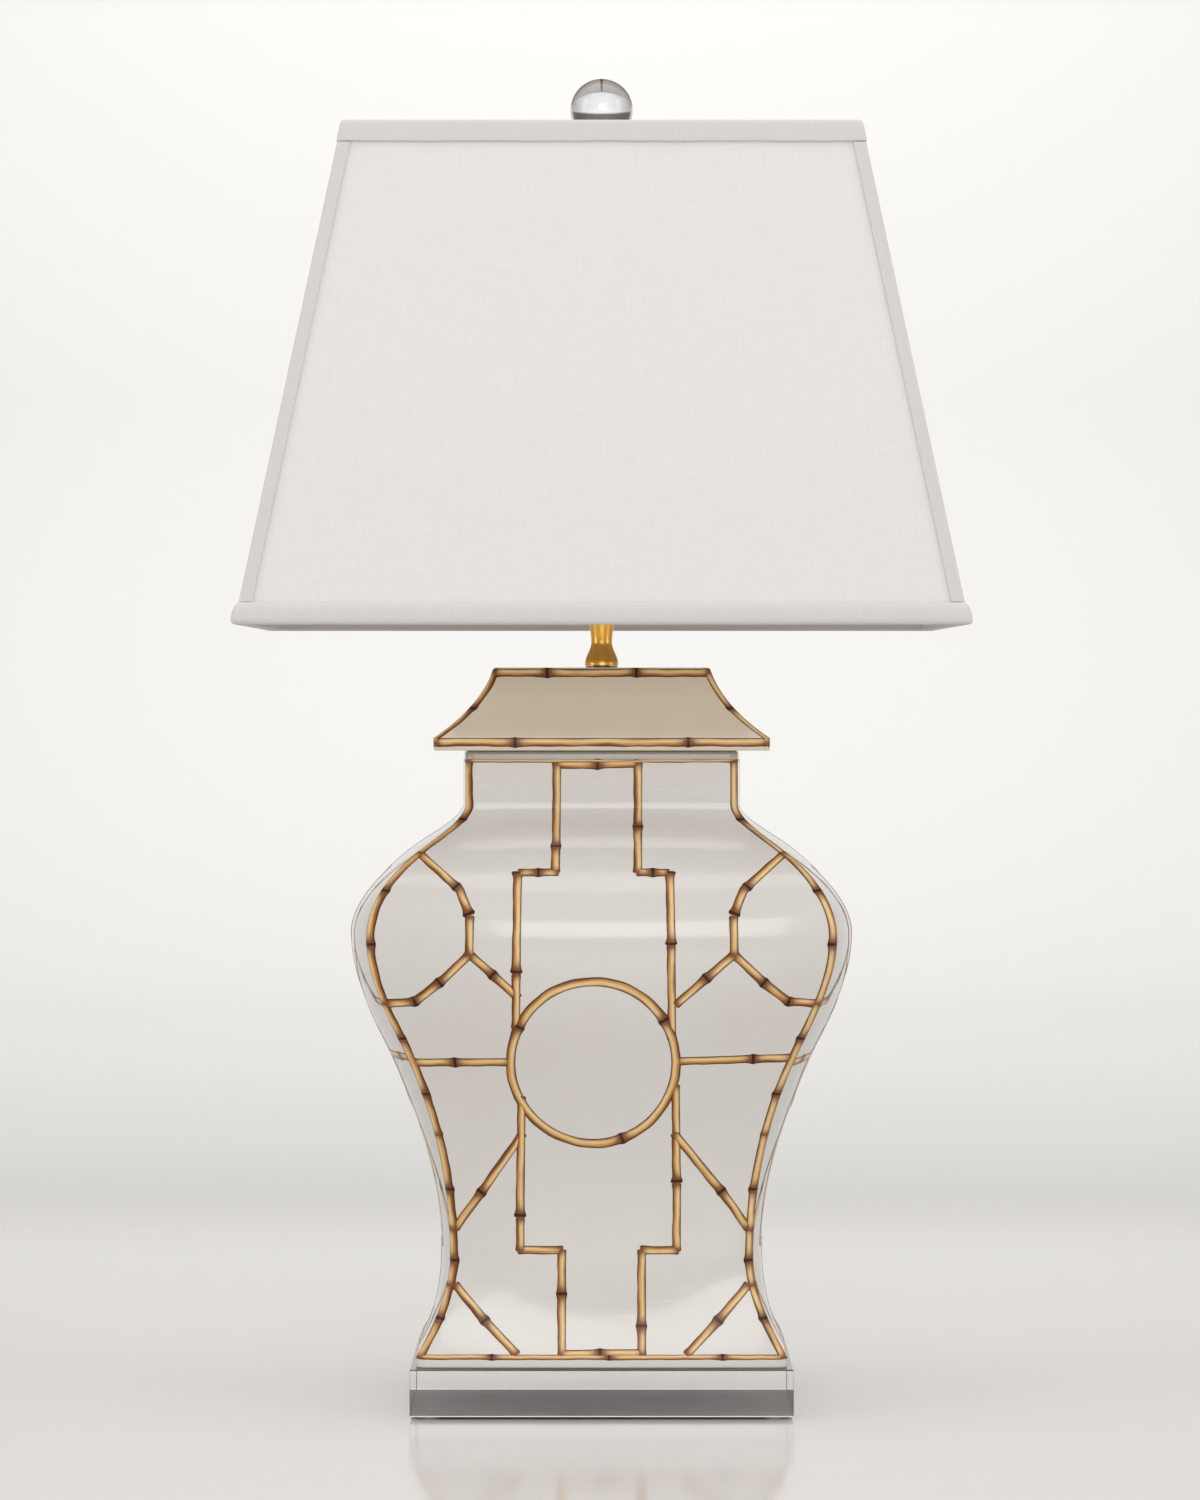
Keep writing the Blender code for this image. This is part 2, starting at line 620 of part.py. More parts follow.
def build_grommet():
    """Bush with a flange on the outside only, pushed into the cord hole."""
    seat = 2 * GAP
    top = seat + GROMMET_FLANGE_THICKNESS
    sleeve = CORD_HOLE_RADIUS - GAP
    outline = [
        (GROMMET_FLANGE_RADIUS * 0.8, top),
        (GROMMET_FLANGE_RADIUS, (seat + top) / 2),
        (GROMMET_FLANGE_RADIUS, seat),
        (sleeve, seat),
        (sleeve, -JAR_WALL),
        (GROMMET_BORE_RADIUS, -JAR_WALL),
        (GROMMET_BORE_RADIUS, top),
    ]
    grommet = turned("cord_grommet", outline, SMALL_ROUND_STEPS)
    place, outward = cord_hole()
    finish(grommet, BASE, GREY_RUBBER, place, outward.to_track_quat("Z", "Y").to_euler())


# ---------------------------------------------------------------- lid
def lid_slope(t):
    """Half width and height above the rim band at share t of the concave slope: a quadratic curve."""
    low_x = NECK_HALF_WIDTH + LID_OVERHANG
    bend_x = LID_TOP_HALF_WIDTH + (low_x - LID_TOP_HALF_WIDTH) * 0.20
    bend_z = LID_SLOPE_HEIGHT * LID_CONCAVITY
    x = (1 - t) ** 2 * low_x + 2 * t * (1 - t) * bend_x + t * t * LID_TOP_HALF_WIDTH
    z = 2 * t * (1 - t) * bend_z + t * t * LID_SLOPE_HEIGHT
    return x, z


def lid_ring(half_x, z, wall=0.0):
    half_y = half_x * JAR_DEPTH_SHARE
    radius = max(LID_CORNER_RADIUS - wall, LID_CORNER_RADIUS / 4)
    return at_height(bowed_rectangle(half_x - wall, half_y - wall, radius), z)


def lid_flange_ring(wall, z):
    """Ring of the flange that drops inside the jar's mouth."""
    reach = JAR_WALL + FLANGE_CLEARANCE + wall
    radius = JAR_CORNER_RADIUS / 4
    return at_height(
        bowed_rectangle(NECK_HALF_WIDTH - reach, NECK_HALF_WIDTH * JAR_DEPTH_SHARE - reach, radius), z
    )


def build_lid():
    """One skin: from the underside of the top, out and round the flange, under the rim and up the outside."""
    steps = 9
    slope_z = LID_BOTTOM + LID_RIM_HEIGHT
    slope = [lid_slope(step / steps) for step in range(steps + 1)]
    outside = [lid_ring(slope[0][0], LID_BOTTOM)]
    outside += [lid_ring(x, slope_z + z) for x, z in slope]
    inner_top = LID_TOP - LID_WALL
    inside = [
        lid_ring(x, slope_z + z - LID_WALL, LID_WALL)
        for x, z in slope
        if x < NECK_HALF_WIDTH and slope_z + z - LID_WALL < inner_top
    ]
    flange_bottom = LID_BOTTOM - FLANGE_DEPTH
    flange = [
        lid_flange_ring(FLANGE_WALL, LID_BOTTOM + LID_WALL),
        lid_flange_ring(FLANGE_WALL, flange_bottom),
        lid_flange_ring(0.0, flange_bottom),
        lid_flange_ring(0.0, LID_BOTTOM),
    ]
    ceiling = [lid_ring(LID_TOP_HALF_WIDTH, inner_top, LID_WALL)]
    rings = ceiling + inside[::-1] + flange + outside
    lid = lofted("jar_lid", rings)
    finish(lid, BASE, PORCELAIN)
    bore = rod(
        "lid_bore",
        PIPE_RADIUS + HOLE_CLEARANCE,
        (0, 0, inner_top - LID_WALL),
        (0, 0, LID_TOP + LID_WALL),
    )
    boolean(lid, bore, "DIFFERENCE")


# ---------------------------------------------------------------- turned neck
def build_neck():
    hole = PIPE_RADIUS + HOLE_CLEARANCE
    check_top = CHECK_RING_BOTTOM + CHECK_RING_THICKNESS
    check = turned("check_ring", ring_outline(hole, CHECK_RING_RADIUS, CHECK_RING_BOTTOM, check_top))
    finish(check, BASE, DARK_BRONZE)
    waist_z = SPINDLE_BOTTOM + SPINDLE_WAIST_RISE
    curve = [
        (SPINDLE_BOTTOM, SPINDLE_BASE_RADIUS, 0),
        (SPINDLE_BOTTOM + SPINDLE_WAIST_RISE * 0.12, SPINDLE_BASE_RADIUS, -0.1),
        (waist_z, hole + SPINDLE_WAIST_WALL, 0),
        (SPINDLE_TOP, SPINDLE_TOP_RADIUS, 0.05),
    ]
    rows = 12
    heights = [SPINDLE_TOP - SPINDLE_HEIGHT * row / rows for row in range(rows + 1)]
    outline = [(smooth_value(curve, z), z) for z in heights]
    outline += [(hole, SPINDLE_BOTTOM), (hole, SPINDLE_TOP)]
    finish(turned("brass_neck", outline), BASE, ANTIQUE_BRASS)


# ---------------------------------------------------------------- harp
def build_saddle():
    """Strip bent up at both ends, with a pin on each ear that the harp's leg stands on."""
    outer = HARP_LEG_SPREAD + SADDLE_THICKNESS / 2
    inner = outer - SADDLE_THICKNESS
    bend = SADDLE_BEND_RADIUS
    steps = 4
    right = []
    for step in range(steps + 1):
        angle = -math.pi / 2 + math.pi / 2 * step / steps
        x = outer - bend + bend * math.cos(angle)
        right.append((x, SADDLE_BOTTOM + bend + bend * math.sin(angle)))
    right.append((outer, EAR_TOP))
    right.append((inner, EAR_TOP))
    small = bend - SADDLE_THICKNESS
    for step in range(steps + 1):
        angle = -math.pi / 2 * step / steps
        x = outer - bend + small * math.cos(angle)
        right.append((x, SADDLE_BOTTOM + bend + small * math.sin(angle)))
    outline = right + [(-x, z) for x, z in reversed(right)]
    hole = PIPE_RADIUS + HOLE_CLEARANCE
    strip = plate("harp_saddle", outline, 2 * (hole + SADDLE_MARGIN))
    strip.rotation_euler = (math.pi / 2, 0, 0)
    saddle = as_mesh(strip)
    saddle.data.transform(saddle.matrix_world)
    saddle.matrix_world = Matrix.Identity(4)
    finish(saddle, BASE, ANTIQUE_BRASS)
    below = SADDLE_BOTTOM - SADDLE_THICKNESS
    boolean(saddle, rod("saddle_bore", hole, (0, 0, below), (0, 0, EAR_TOP)), "DIFFERENCE")
    for side in (-1, 1):
        x = side * HARP_LEG_SPREAD
        start = EAR_TOP - SADDLE_EAR_HEIGHT / 3
        pin = rod("saddle_pin", HARP_WIRE_RADIUS, (x, 0, start), (x, 0, PIN_TOP), 12)
        boolean(saddle, pin, "UNION")


def harp_route():
    """Left leg up, over the crown and down: straight, then flared, then half an ellipse."""
    leg_z = HARP_BOTTOM + HARP_LEG_STRAIGHT
    flare = [(leg_z, HARP_LEG_SPREAD, 0), (HARP_WIDEST, HARP_HALF_WIDTH, 0)]
    rows, arcs = 9, 14
    right = [(HARP_LEG_SPREAD, 0, HARP_BOTTOM)]
    for row in range(rows + 1):
        z = leg_z + HARP_FLARE_HEIGHT * row / rows
        right.append((smooth_value(flare, z), 0, z))
    for step in range(1, arcs):
        angle = math.pi / 2 * step / arcs
        x = HARP_HALF_WIDTH * math.cos(angle)
        right.append((x, 0, HARP_WIDEST + HARP_CROWN_HEIGHT * math.sin(angle)))
    left = [(-x, y, z) for x, y, z in right]
    return left + [(0, 0, HARP_TOP)] + right[::-1]


def build_harp():
    finish(wire("harp_bow", harp_route(), HARP_WIRE_RADIUS), HARP, ANTIQUE_BRASS)
    stud_top = COLLAR_TOP + STUD_HEIGHT
    outline = [
        (0, stud_top),
        (STUD_RADIUS, stud_top),
        (STUD_RADIUS, COLLAR_TOP),
        (STUD_COLLAR_RADIUS, COLLAR_TOP),
        (STUD_COLLAR_RADIUS, STUD_BOTTOM),
        (0, STUD_BOTTOM),
    ]
    finish(turned("harp_stud", outline, SMALL_ROUND_STEPS, on_axis=True), HARP, ANTIQUE_BRASS)
    for side, name in ((-1, "left"), (1, "right")):
        bore = HARP_WIRE_RADIUS + RUNNING_CLEARANCE
        half = FERRULE_LENGTH / 2
        ferrule = turned(
            f"ferrule_sleeve_{name}", ring_outline(bore, FERRULE_RADIUS, -half, half), SMALL_ROUND_STEPS
        )
        finish(ferrule, FERRULES[side], ANTIQUE_BRASS, (side * HARP_LEG_SPREAD, 0, PIN_TOP))


# ---------------------------------------------------------------- socket, switch and bulb
def build_socket():
    outer, inner = SOCKET_RADIUS, SOCKET_RADIUS - SOCKET_WALL
    hole = PIPE_RADIUS + HOLE_CLEARANCE
    throat = SOCKET_CAP_THROAT_RADIUS
    low, high = SOCKET_CAP_BOTTOM, SOCKET_CAP_TOP
    shoulder = low + SOCKET_CAP_HEIGHT * 0.3
    cap = [
        (outer, high),
        (outer, high - SOCKET_CAP_HEIGHT * 0.35),
        (outer * 0.93, shoulder + SOCKET_CAP_HEIGHT * 0.1),
        (throat, shoulder),
        (throat, low),
        (hole, low),
        (hole, low + SOCKET_WALL),
        (throat - SOCKET_WALL, low + SOCKET_WALL),
        (throat - SOCKET_WALL, shoulder + SOCKET_WALL),
        (inner * 0.93, shoulder + SOCKET_CAP_HEIGHT * 0.1 + SOCKET_WALL),
        (inner, high - SOCKET_CAP_HEIGHT * 0.3),
        (inner, high),
    ]
    finish(turned("socket_cap", cap), BASE, ANTIQUE_BRASS)
    bead = SOCKET_WALL * 1.5
    shell = [
        (outer, SHELL_TOP),
        (outer, SHELL_BOTTOM + 4 * bead),
        (outer + bead, SHELL_BOTTOM + 3 * bead),
        (outer + bead, SHELL_BOTTOM),
        (inner, SHELL_BOTTOM),
        (inner, SHELL_TOP),
    ]
    shaft = rod(
        "switch_bore",
        KNOB_SHAFT_RADIUS + RUNNING_CLEARANCE,
        (0, -2 * SOCKET_RADIUS, KNOB_Z),
        (0, KNOB_SHAFT_DEPTH + RUNNING_CLEARANCE - SOCKET_RADIUS, KNOB_Z),
        12,
    )
    shell_item = finish(turned("socket_shell", shell), BASE, ANTIQUE_BRASS)
    liner_outer = inner - GAP
    liner_inner = liner_outer - LINER_WALL
    liner = turned("socket_liner", ring_outline(liner_inner, liner_outer, SHELL_BOTTOM, SHELL_TOP))
    finish(liner, BASE, CARDBOARD)
    core_radius = liner_inner - GAP
    core = rod("socket_core", core_radius, (0, 0, CORE_BOTTOM), (0, 0, CORE_TOP), ROUND_STEPS, PARTS)
    finish(core, BASE, PHENOLIC)
    for item in (shell_item, liner, core):
        boolean(item, shaft, "DIFFERENCE")
    screw_inner = BULB_CAP_RADIUS + RUNNING_CLEARANCE
    screw_bottom = CORE_TOP + GAP
    screw = ring_outline(screw_inner, screw_inner + SCREW_SHELL_WALL, screw_bottom, SHELL_TOP)
    finish(turned("screw_shell", screw), BASE, ANTIQUE_BRASS)
    contact = [
        (0, CONTACT_TOP),
        (CONTACT_RADIUS, CONTACT_TOP),
        (CONTACT_RADIUS, screw_bottom),
        (0, screw_bottom),
    ]
    finish(turned("centre_contact", contact, SMALL_ROUND_STEPS, on_axis=True), BASE, ANTIQUE_BRASS)


def build_switch():
    """Knob on a shaft that enters the socket from the front."""
    face = -SOCKET_RADIUS - KNOB_STANDOFF
    inner_end = KNOB_SHAFT_DEPTH - SOCKET_RADIUS
    outer_end = face - KNOB_SHAFT_ENTRY
    shaft = rod(
        "switch_shaft", KNOB_SHAFT_RADIUS, (0, inner_end, 0), (0, outer_end, 0), 12, PARTS
    )
    finish(shaft, SWITCH, ANTIQUE_BRASS, (0, 0, KNOB_Z))
    pocket = KNOB_SHAFT_RADIUS + GAP
    depth = KNOB_SHAFT_ENTRY + GAP
    outline = [
        (0, KNOB_LENGTH),
        (KNOB_RADIUS * 0.8, KNOB_LENGTH),
        (KNOB_RADIUS, KNOB_LENGTH * 0.8),
        (KNOB_RADIUS * 0.9, 0),
        (pocket, 0),
        (pocket, depth),
        (0, depth),
    ]
    knob = turned("switch_knob", outline, SMALL_ROUND_STEPS, on_axis=True)
    finish(knob, SWITCH, PHENOLIC, (0, face, KNOB_Z), (math.pi / 2, 0, 0))


def build_bulb():
    outer, inner = BULB_CAP_RADIUS, BULB_CAP_RADIUS - BULB_CAP_WALL
    low = BULB_CAP_BOTTOM
    tip = CONTACT_RADIUS
    cone = (outer - tip) / 2
    cap = [
        (0, low + cone),
        (inner, low + 1.5 * cone),
        (inner, BULB_CAP_TOP),
        (outer, BULB_CAP_TOP),
        (outer, low + cone),
        (tip, low),
        (0, low),
    ]
    finish(turned("bulb_cap", cap, on_axis=True), BULB, ZINC)
    neck_z = BULB_CAP_TOP - BULB_GLASS_INSERTION
    top = BULB_CAP_TOP + BULB_GLASS_HEIGHT
    middle = top - BULB_GLASS_RADIUS
    shoulder = [(BULB_CAP_TOP, BULB_GLASS_NECK_RADIUS, 0.15), (middle, BULB_GLASS_RADIUS, 0)]
    rows, arcs = 5, 5

    def skin(wall):
        crown = [math.pi / 2 * (1 - step / arcs) for step in range(arcs)]
        radius = BULB_GLASS_RADIUS - wall
        points = [(radius * math.cos(angle), middle + radius * math.sin(angle)) for angle in crown]
        points[0] = (0, top - wall)
        for row in range(rows + 1):
            z = middle - (middle - BULB_CAP_TOP) * row / rows
            points.append((smooth_value(shoulder, z) - wall, z))
        return points + [(BULB_GLASS_NECK_RADIUS - wall, neck_z)]

    glass = skin(0.0) + skin(BULB_GLASS_WALL)[::-1]
    finish(turned("bulb_glass", glass, 24, on_axis=True), BULB, BULB_GLASS)


# ---------------------------------------------------------------- shade
def shade_half(z):
    """Half width and half depth of the shade's outer skin at a height."""
    t = (z - SHADE_BOTTOM) / SHADE_HEIGHT
    width = SHADE_BOTTOM_WIDTH + (SHADE_TOP_WIDTH - SHADE_BOTTOM_WIDTH) * t
    depth = SHADE_BOTTOM_DEPTH + (SHADE_TOP_DEPTH - SHADE_BOTTOM_DEPTH) * t
    return width / 2, depth / 2


def shade_ring(offset, z, radius=SHADE_CORNER_RADIUS):
    """Closed outline parallel to the skin at a height, moved out by offset."""
    half_x, half_y = shade_half(z)
    return at_height(bowed_rectangle(half_x + offset, half_y + offset, radius), z)


def build_panels():
    """Four stiff linen plates: front and back reach the corners, left and right stop behind them."""
    low_x, low_y = shade_half(PANEL_BOTTOM)
    high_x, high_y = shade_half(PANEL_TOP)
    rise = PANEL_TOP - PANEL_BOTTOM
    lean_front = math.atan2(low_y - high_y, rise)
    lean_side = math.atan2(low_x - high_x, rise)
    behind = PANEL_THICKNESS / math.cos(lean_front) + GAP
    sides = (
        ("front", low_x, high_x, low_y, lean_front, 0, (0, -1)),
        ("back", low_x, high_x, low_y, lean_front, math.pi, (0, 1)),
        ("left", low_y - behind, high_y - behind, low_x, lean_side, -math.pi / 2, (-1, 0)),
        ("right", low_y - behind, high_y - behind, low_x, lean_side, math.pi / 2, (1, 0)),
    )
    for name, low_half, high_half, distance, lean, yaw, (x, y) in sides:
        slant = rise / math.cos(lean)
        outline = [(-low_half, 0), (low_half, 0), (high_half, slant), (-high_half, slant)]
        panel = plate(f"linen_panel_{name}", outline, PANEL_THICKNESS)
        reach = distance - PANEL_THICKNESS / 2 / math.cos(lean)
        at = (x * reach, y * reach, PANEL_BOTTOM)
        finish(panel, SHADE, LINEN, at, (math.pi / 2 - lean, 0, yaw))


def build_shade_frame():
    for name, z in (("top_ring", TOP_RING_Z), ("bottom_ring", BOTTOM_RING_Z)):
        route = shade_ring(-RING_INSET, z, FRAME_BEND_RADIUS)
        finish(wire(name, route, FRAME_WIRE_RADIUS, cyclic=True), SHADE, WHITE_WIRE)
    clear = FRAME_WIRE_RADIUS + 2 * GAP
    high_z, low_z = TOP_RING_Z - clear, BOTTOM_RING_Z + clear
    inset = PANEL_THICKNESS + 2 * GAP + UPRIGHT_WIRE_RADIUS
    for side_x, side_y in ((-1, -1), (1, -1), (1, 1), (-1, 1)):
        ends = []
        for z in (low_z, high_z):
            half_x, half_y = shade_half(z)
            ends.append((side_x * (half_x - inset), side_y * (half_y - inset), z))
        name = corner_name("upright", side_x, side_y)
        upright = rod(name, UPRIGHT_WIRE_RADIUS, *ends, 10, PARTS)
        finish(upright, SHADE, WHITE_WIRE)


def corner_name(stem, side_x, side_y):
    return f"{stem}_{'front' if side_y < 0 else 'back'}_{'left' if side_x < 0 else 'right'}"


def build_spider():
    """Washer on the harp's stud, and four arms that rise to the middle of each side of the top ring."""
    washer_hole = STUD_RADIUS + RUNNING_CLEARANCE
    washer = turned(
        "spider_washer",
        ring_outline(washer_hole, SPIDER_WASHER_RADIUS, SPIDER_BOTTOM, SPIDER_TOP),
    )
    finish(washer, SHADE, DARK_BRONZE)
    half_x, half_y = shade_half(TOP_RING_Z)
    low_z = (SPIDER_BOTTOM + SPIDER_TOP) / 2
    arm_start = SPIDER_WASHER_RADIUS + GAP
    bend_start = SPIDER_WASHER_RADIUS + 2 * SPIDER_WIRE_RADIUS
    bend_end = bend_start + 1.5 * (SPIDER_ARM_Z - low_z)
    arms = (
        ("right", 1, 0, half_x),
        ("left", -1, 0, half_x),
        ("back", 0, 1, half_y),
        ("front", 0, -1, half_y),
    )
    for name, x, y, half in arms:
        stations = (
            (arm_start, low_z),
            (bend_start, low_z),
            (bend_end, SPIDER_ARM_Z),
            (half - RING_INSET, SPIDER_ARM_Z),
        )
        route = [(x * reach, y * reach, z) for reach, z in stations]
        arm = wire("spider_arm_" + name, route, SPIDER_WIRE_RADIUS)
        finish(arm, SHADE, DARK_BRONZE)


def folded_tape(name, z_edge, z_fold, z_inner, fold, thickness):
    """Tape folded round a rim of the shade: down the outside, and a short leg inside the ring."""
    face = -(RING_INSET + FRAME_WIRE_RADIUS + 2 * GAP)
    face_radius = FRAME_BEND_RADIUS - FRAME_WIRE_RADIUS - GAP
    back = face - TAPE_THICKNESS
    back_radius = face_radius - TAPE_THICKNESS
    rings = [
        shade_ring(GAP + thickness, z_edge),
        shade_ring(GAP + thickness, z_fold),
        shade_ring(back, z_fold, back_radius),
        shade_ring(back, z_inner, back_radius),
        shade_ring(face, z_inner, face_radius),
        shade_ring(face, z_fold - fold, face_radius),
        shade_ring(GAP, z_fold - fold, GAP),
        shade_ring(GAP, z_edge, GAP),
    ]
    if z_edge > z_fold:
        rings.reverse()
    finish(lofted(name, rings, closed=True), SHADE, LINEN_TAPE, smooth=False)


def build_tapes():
    top_edge = SHADE_TOP - TOP_TAPE_HEIGHT
    bottom_edge = SHADE_BOTTOM + BOTTOM_TAPE_HEIGHT
    folded_tape("top_tape", top_edge, SHADE_TOP, TOP_RING_Z, TAPE_THICKNESS, TAPE_THICKNESS)
    hem = BOTTOM_TAPE_THICKNESS
    folded_tape("bottom_tape", bottom_edge, SHADE_BOTTOM, BOTTOM_RING_Z, -hem, hem)
    for side_x, side_y in ((-1, -1), (1, -1), (1, 1), (-1, 1)):
        rings = []
        for z in (bottom_edge + GAP, top_edge - GAP):
            half_x, half_y = shade_half(z)
            inner_x, inner_y = half_x + GAP, half_y + GAP
            outer_x, outer_y = inner_x + TAPE_THICKNESS, inner_y + TAPE_THICKNESS
            section = [
                (outer_x - CORNER_TAPE_WIDTH, inner_y),
                (inner_x, inner_y),
                (inner_x, outer_y - CORNER_TAPE_WIDTH),
                (outer_x, outer_y - CORNER_TAPE_WIDTH),
                (outer_x, outer_y),
                (outer_x - CORNER_TAPE_WIDTH, outer_y),
            ]
            if side_x * side_y < 0:
                section.reverse()
            rings.append([(side_x * x, side_y * y, z) for x, y in section])
        tape = lofted(corner_name("corner_tape", side_x, side_y), rings)
        finish(tape, SHADE, LINEN_TAPE, smooth=False)


# ---------------------------------------------------------------- finial
def build_finial():
    def seat(radius):
        return BALL_Z - math.sqrt((FINIAL_BALL_RADIUS + GAP) ** 2 - radius * radius)

    rod_top = seat(0) + GAP + FINIAL_ROD_HEIGHT
    bore = STUD_RADIUS + RUNNING_CLEARANCE
    bore_top = COLLAR_TOP + STUD_HEIGHT + GAP
    low = FINIAL_BOTTOM
    lip = (FINIAL_SEAT_RADIUS + FINIAL_FOOT_RADIUS) / 2
    outline = [
        (0, rod_top),
        (FINIAL_ROD_RADIUS, rod_top),
        (FINIAL_ROD_RADIUS, seat(FINIAL_ROD_RADIUS)),
        (FINIAL_SEAT_RADIUS / 2, seat(FINIAL_SEAT_RADIUS / 2)),
        (FINIAL_SEAT_RADIUS, seat(FINIAL_SEAT_RADIUS)),
        (lip, seat(FINIAL_SEAT_RADIUS) - GAP),
        (lip, low + FINIAL_BASE_HEIGHT * 0.85),
        (FINIAL_WAIST_RADIUS, low + FINIAL_BASE_HEIGHT * 0.65),
        (FINIAL_WAIST_RADIUS, low + FINIAL_BASE_HEIGHT * 0.40),
        (FINIAL_FOOT_RADIUS, low + FINIAL_BASE_HEIGHT * 0.20),
        (FINIAL_FOOT_RADIUS, low),
        (bore, low),
        (bore, bore_top),
        (0, bore_top),
    ]
    finish(turned("finial_base", outline, on_axis=True), FINIAL, ANTIQUE_BRASS)
    cage = bmesh.new()
    bmesh.ops.create_uvsphere(cage, u_segments=24, v_segments=16, radius=FINIAL_BALL_RADIUS)
    mesh = bpy.data.meshes.new("crystal_ball")
    cage.to_mesh(mesh)
    cage.free()
    ball = finish(add_object("crystal_ball", mesh), FINIAL, CRYSTAL, (0, 0, BALL_Z))
    hole = FINIAL_ROD_RADIUS + GAP
    start = BALL_Z - 2 * FINIAL_BALL_RADIUS
    boolean(ball, rod("ball_bore", hole, (0, 0, start), (0, 0, rod_top + GAP), 12), "DIFFERENCE")


build_plinth()
build_clamp()
build_jar()
build_grommet()
build_lid()
build_neck()
build_saddle()
build_harp()
build_socket()
build_switch()
build_bulb()
build_panels()
build_shade_frame()
build_spider()
build_tapes()
build_finial()
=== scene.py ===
"""Ginger jar lamp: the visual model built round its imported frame.

Surfaces are functions of two parameters worked out as whole arrays, and every piece rides on the
body of the frame that carries it.
"""

import math

import bpy
import numpy as np
from bpy.props import FloatProperty, FloatVectorProperty, IntProperty, PointerProperty
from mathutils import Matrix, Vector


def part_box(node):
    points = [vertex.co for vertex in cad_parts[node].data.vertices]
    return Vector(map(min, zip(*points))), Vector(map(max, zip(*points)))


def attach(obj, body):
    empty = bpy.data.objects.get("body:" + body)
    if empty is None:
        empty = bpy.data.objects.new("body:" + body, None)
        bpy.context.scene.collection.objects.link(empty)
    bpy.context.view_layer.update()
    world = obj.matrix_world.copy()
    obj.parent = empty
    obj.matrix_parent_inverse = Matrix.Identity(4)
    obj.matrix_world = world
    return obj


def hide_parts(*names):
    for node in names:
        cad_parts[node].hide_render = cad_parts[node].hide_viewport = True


bl_info = {
    "name": "Ginger Jar Lamp",
    "version": (1, 0, 0),
    "blender": (4, 5, 0),
    "location": "View3D > Sidebar > Lamp",
    "description": "Builds a table lamp with a rectangular ginger jar, painted with bamboo trellis",
    "category": "Add Mesh",
}

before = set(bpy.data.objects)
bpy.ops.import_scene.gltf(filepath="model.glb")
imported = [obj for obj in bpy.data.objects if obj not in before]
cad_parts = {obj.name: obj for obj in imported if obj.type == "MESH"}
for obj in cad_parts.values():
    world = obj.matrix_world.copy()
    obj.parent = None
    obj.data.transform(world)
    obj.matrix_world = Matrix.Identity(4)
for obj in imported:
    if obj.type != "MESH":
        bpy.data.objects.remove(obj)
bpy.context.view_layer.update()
GAP = 0.0003                    # kept between pieces that touch, as in the frame
FACES = ("front", "right", "back", "left")


def mm(value):
    return value / 1000


def colour(name, default, text):
    return FloatVectorProperty(
        name=name, description=text, default=default, subtype="COLOR", size=3, min=0.0, max=1.0
    )


def length(name, default, text):
    return FloatProperty(
        name=name, description=text, default=default, subtype="DISTANCE", unit="LENGTH", precision=4
    )


def lengths(name, default, text):
    return FloatVectorProperty(
        name=name, description=text, default=default, size=len(default), unit="LENGTH", precision=4
    )


# ---------------------------------------------------------------- sizes and colours a user would change
class JarSizes(bpy.types.PropertyGroup):
    levels: lengths(
        "Levels",
        (0.0366, 0.0951, 0.2251, 0.2891, 0.3386, 0.3681, 0.4003),
        "Heights of foot, waist, hip, belly, shoulder, neck and rim",
    )
    half_widths: lengths(
        "Half widths",
        (0.1115, 0.0915, 0.1205, 0.1404, 0.1122, 0.0825, 0.0825),
        "Half width at the corners at each level",
    )
    slopes: FloatVectorProperty(
        name="Slopes",
        description="Half width gained per height at each level",
        default=(-0.57, 0.0, 0.47, 0.0, -1.20, 0.0, 0.0),
        size=7,
    )
    bows: lengths(
        "Bows",
        (0.0010, 0.0073, 0.0150, 0.0138, 0.0070, 0.0020, 0.0020),
        "How far the middle of each side stands out past its corners, at each level",
    )
    depth_share: FloatProperty(
        name="Depth share", description="Depth of the jar over its width", default=0.66, min=0.3, max=1.0
    )
    corner_radius: length("Corner radius", 0.0060, "Rounding of the upright corners")
    wall: length("Wall", 0.0045, "Thickness of the porcelain")
    floor: length("Floor", 0.0060, "Thickness of the jar's floor")
    foot_recess: length("Foot recess", 0.0120, "Height of the hollow foot under the floor")
    hole_radius: length("Pipe hole radius", 0.0054, "Hole for the pipe in the floor and the lid")


class LidSizes(bpy.types.PropertyGroup):
    overhang: length("Overhang", 0.0186, "Reach of the lid past the jar's neck")
    rim_height: length("Rim height", 0.0075, "Upright band round the lid's lower edge")
    slope_height: length("Slope height", 0.0425, "Rise of the concave slope")
    top_half_width: length("Top half width", 0.0655, "Half width of the flat top")
    corner_radius: length("Corner radius", 0.0045, "Rounding of the lid's corners")
    wall: length("Wall", 0.0045, "Thickness of the porcelain")
    flange_depth: length("Flange depth", 0.0120, "Drop of the locating flange inside the neck")
    flange_wall: length("Flange wall", 0.0040, "Thickness of the locating flange")
    flange_clearance: length("Flange clearance", 0.0015, "Play between the flange and the jar's mouth")


class TrellisSizes(bpy.types.PropertyGroup):
    stick_width: length("Stick width", 0.0056, "Width of a painted bamboo stick")
    ring_width: length("Ring width", 0.0062, "Width of the painted ring")
    ring_radius: length("Ring radius", 0.0493, "Radius of the ring's middle line on the front")
    relief: length("Relief", 0.00012, "How far the middle of a stick stands proud of the glaze")
    step: length("Step", 0.0010, "Distance between two rows of points along a stick")


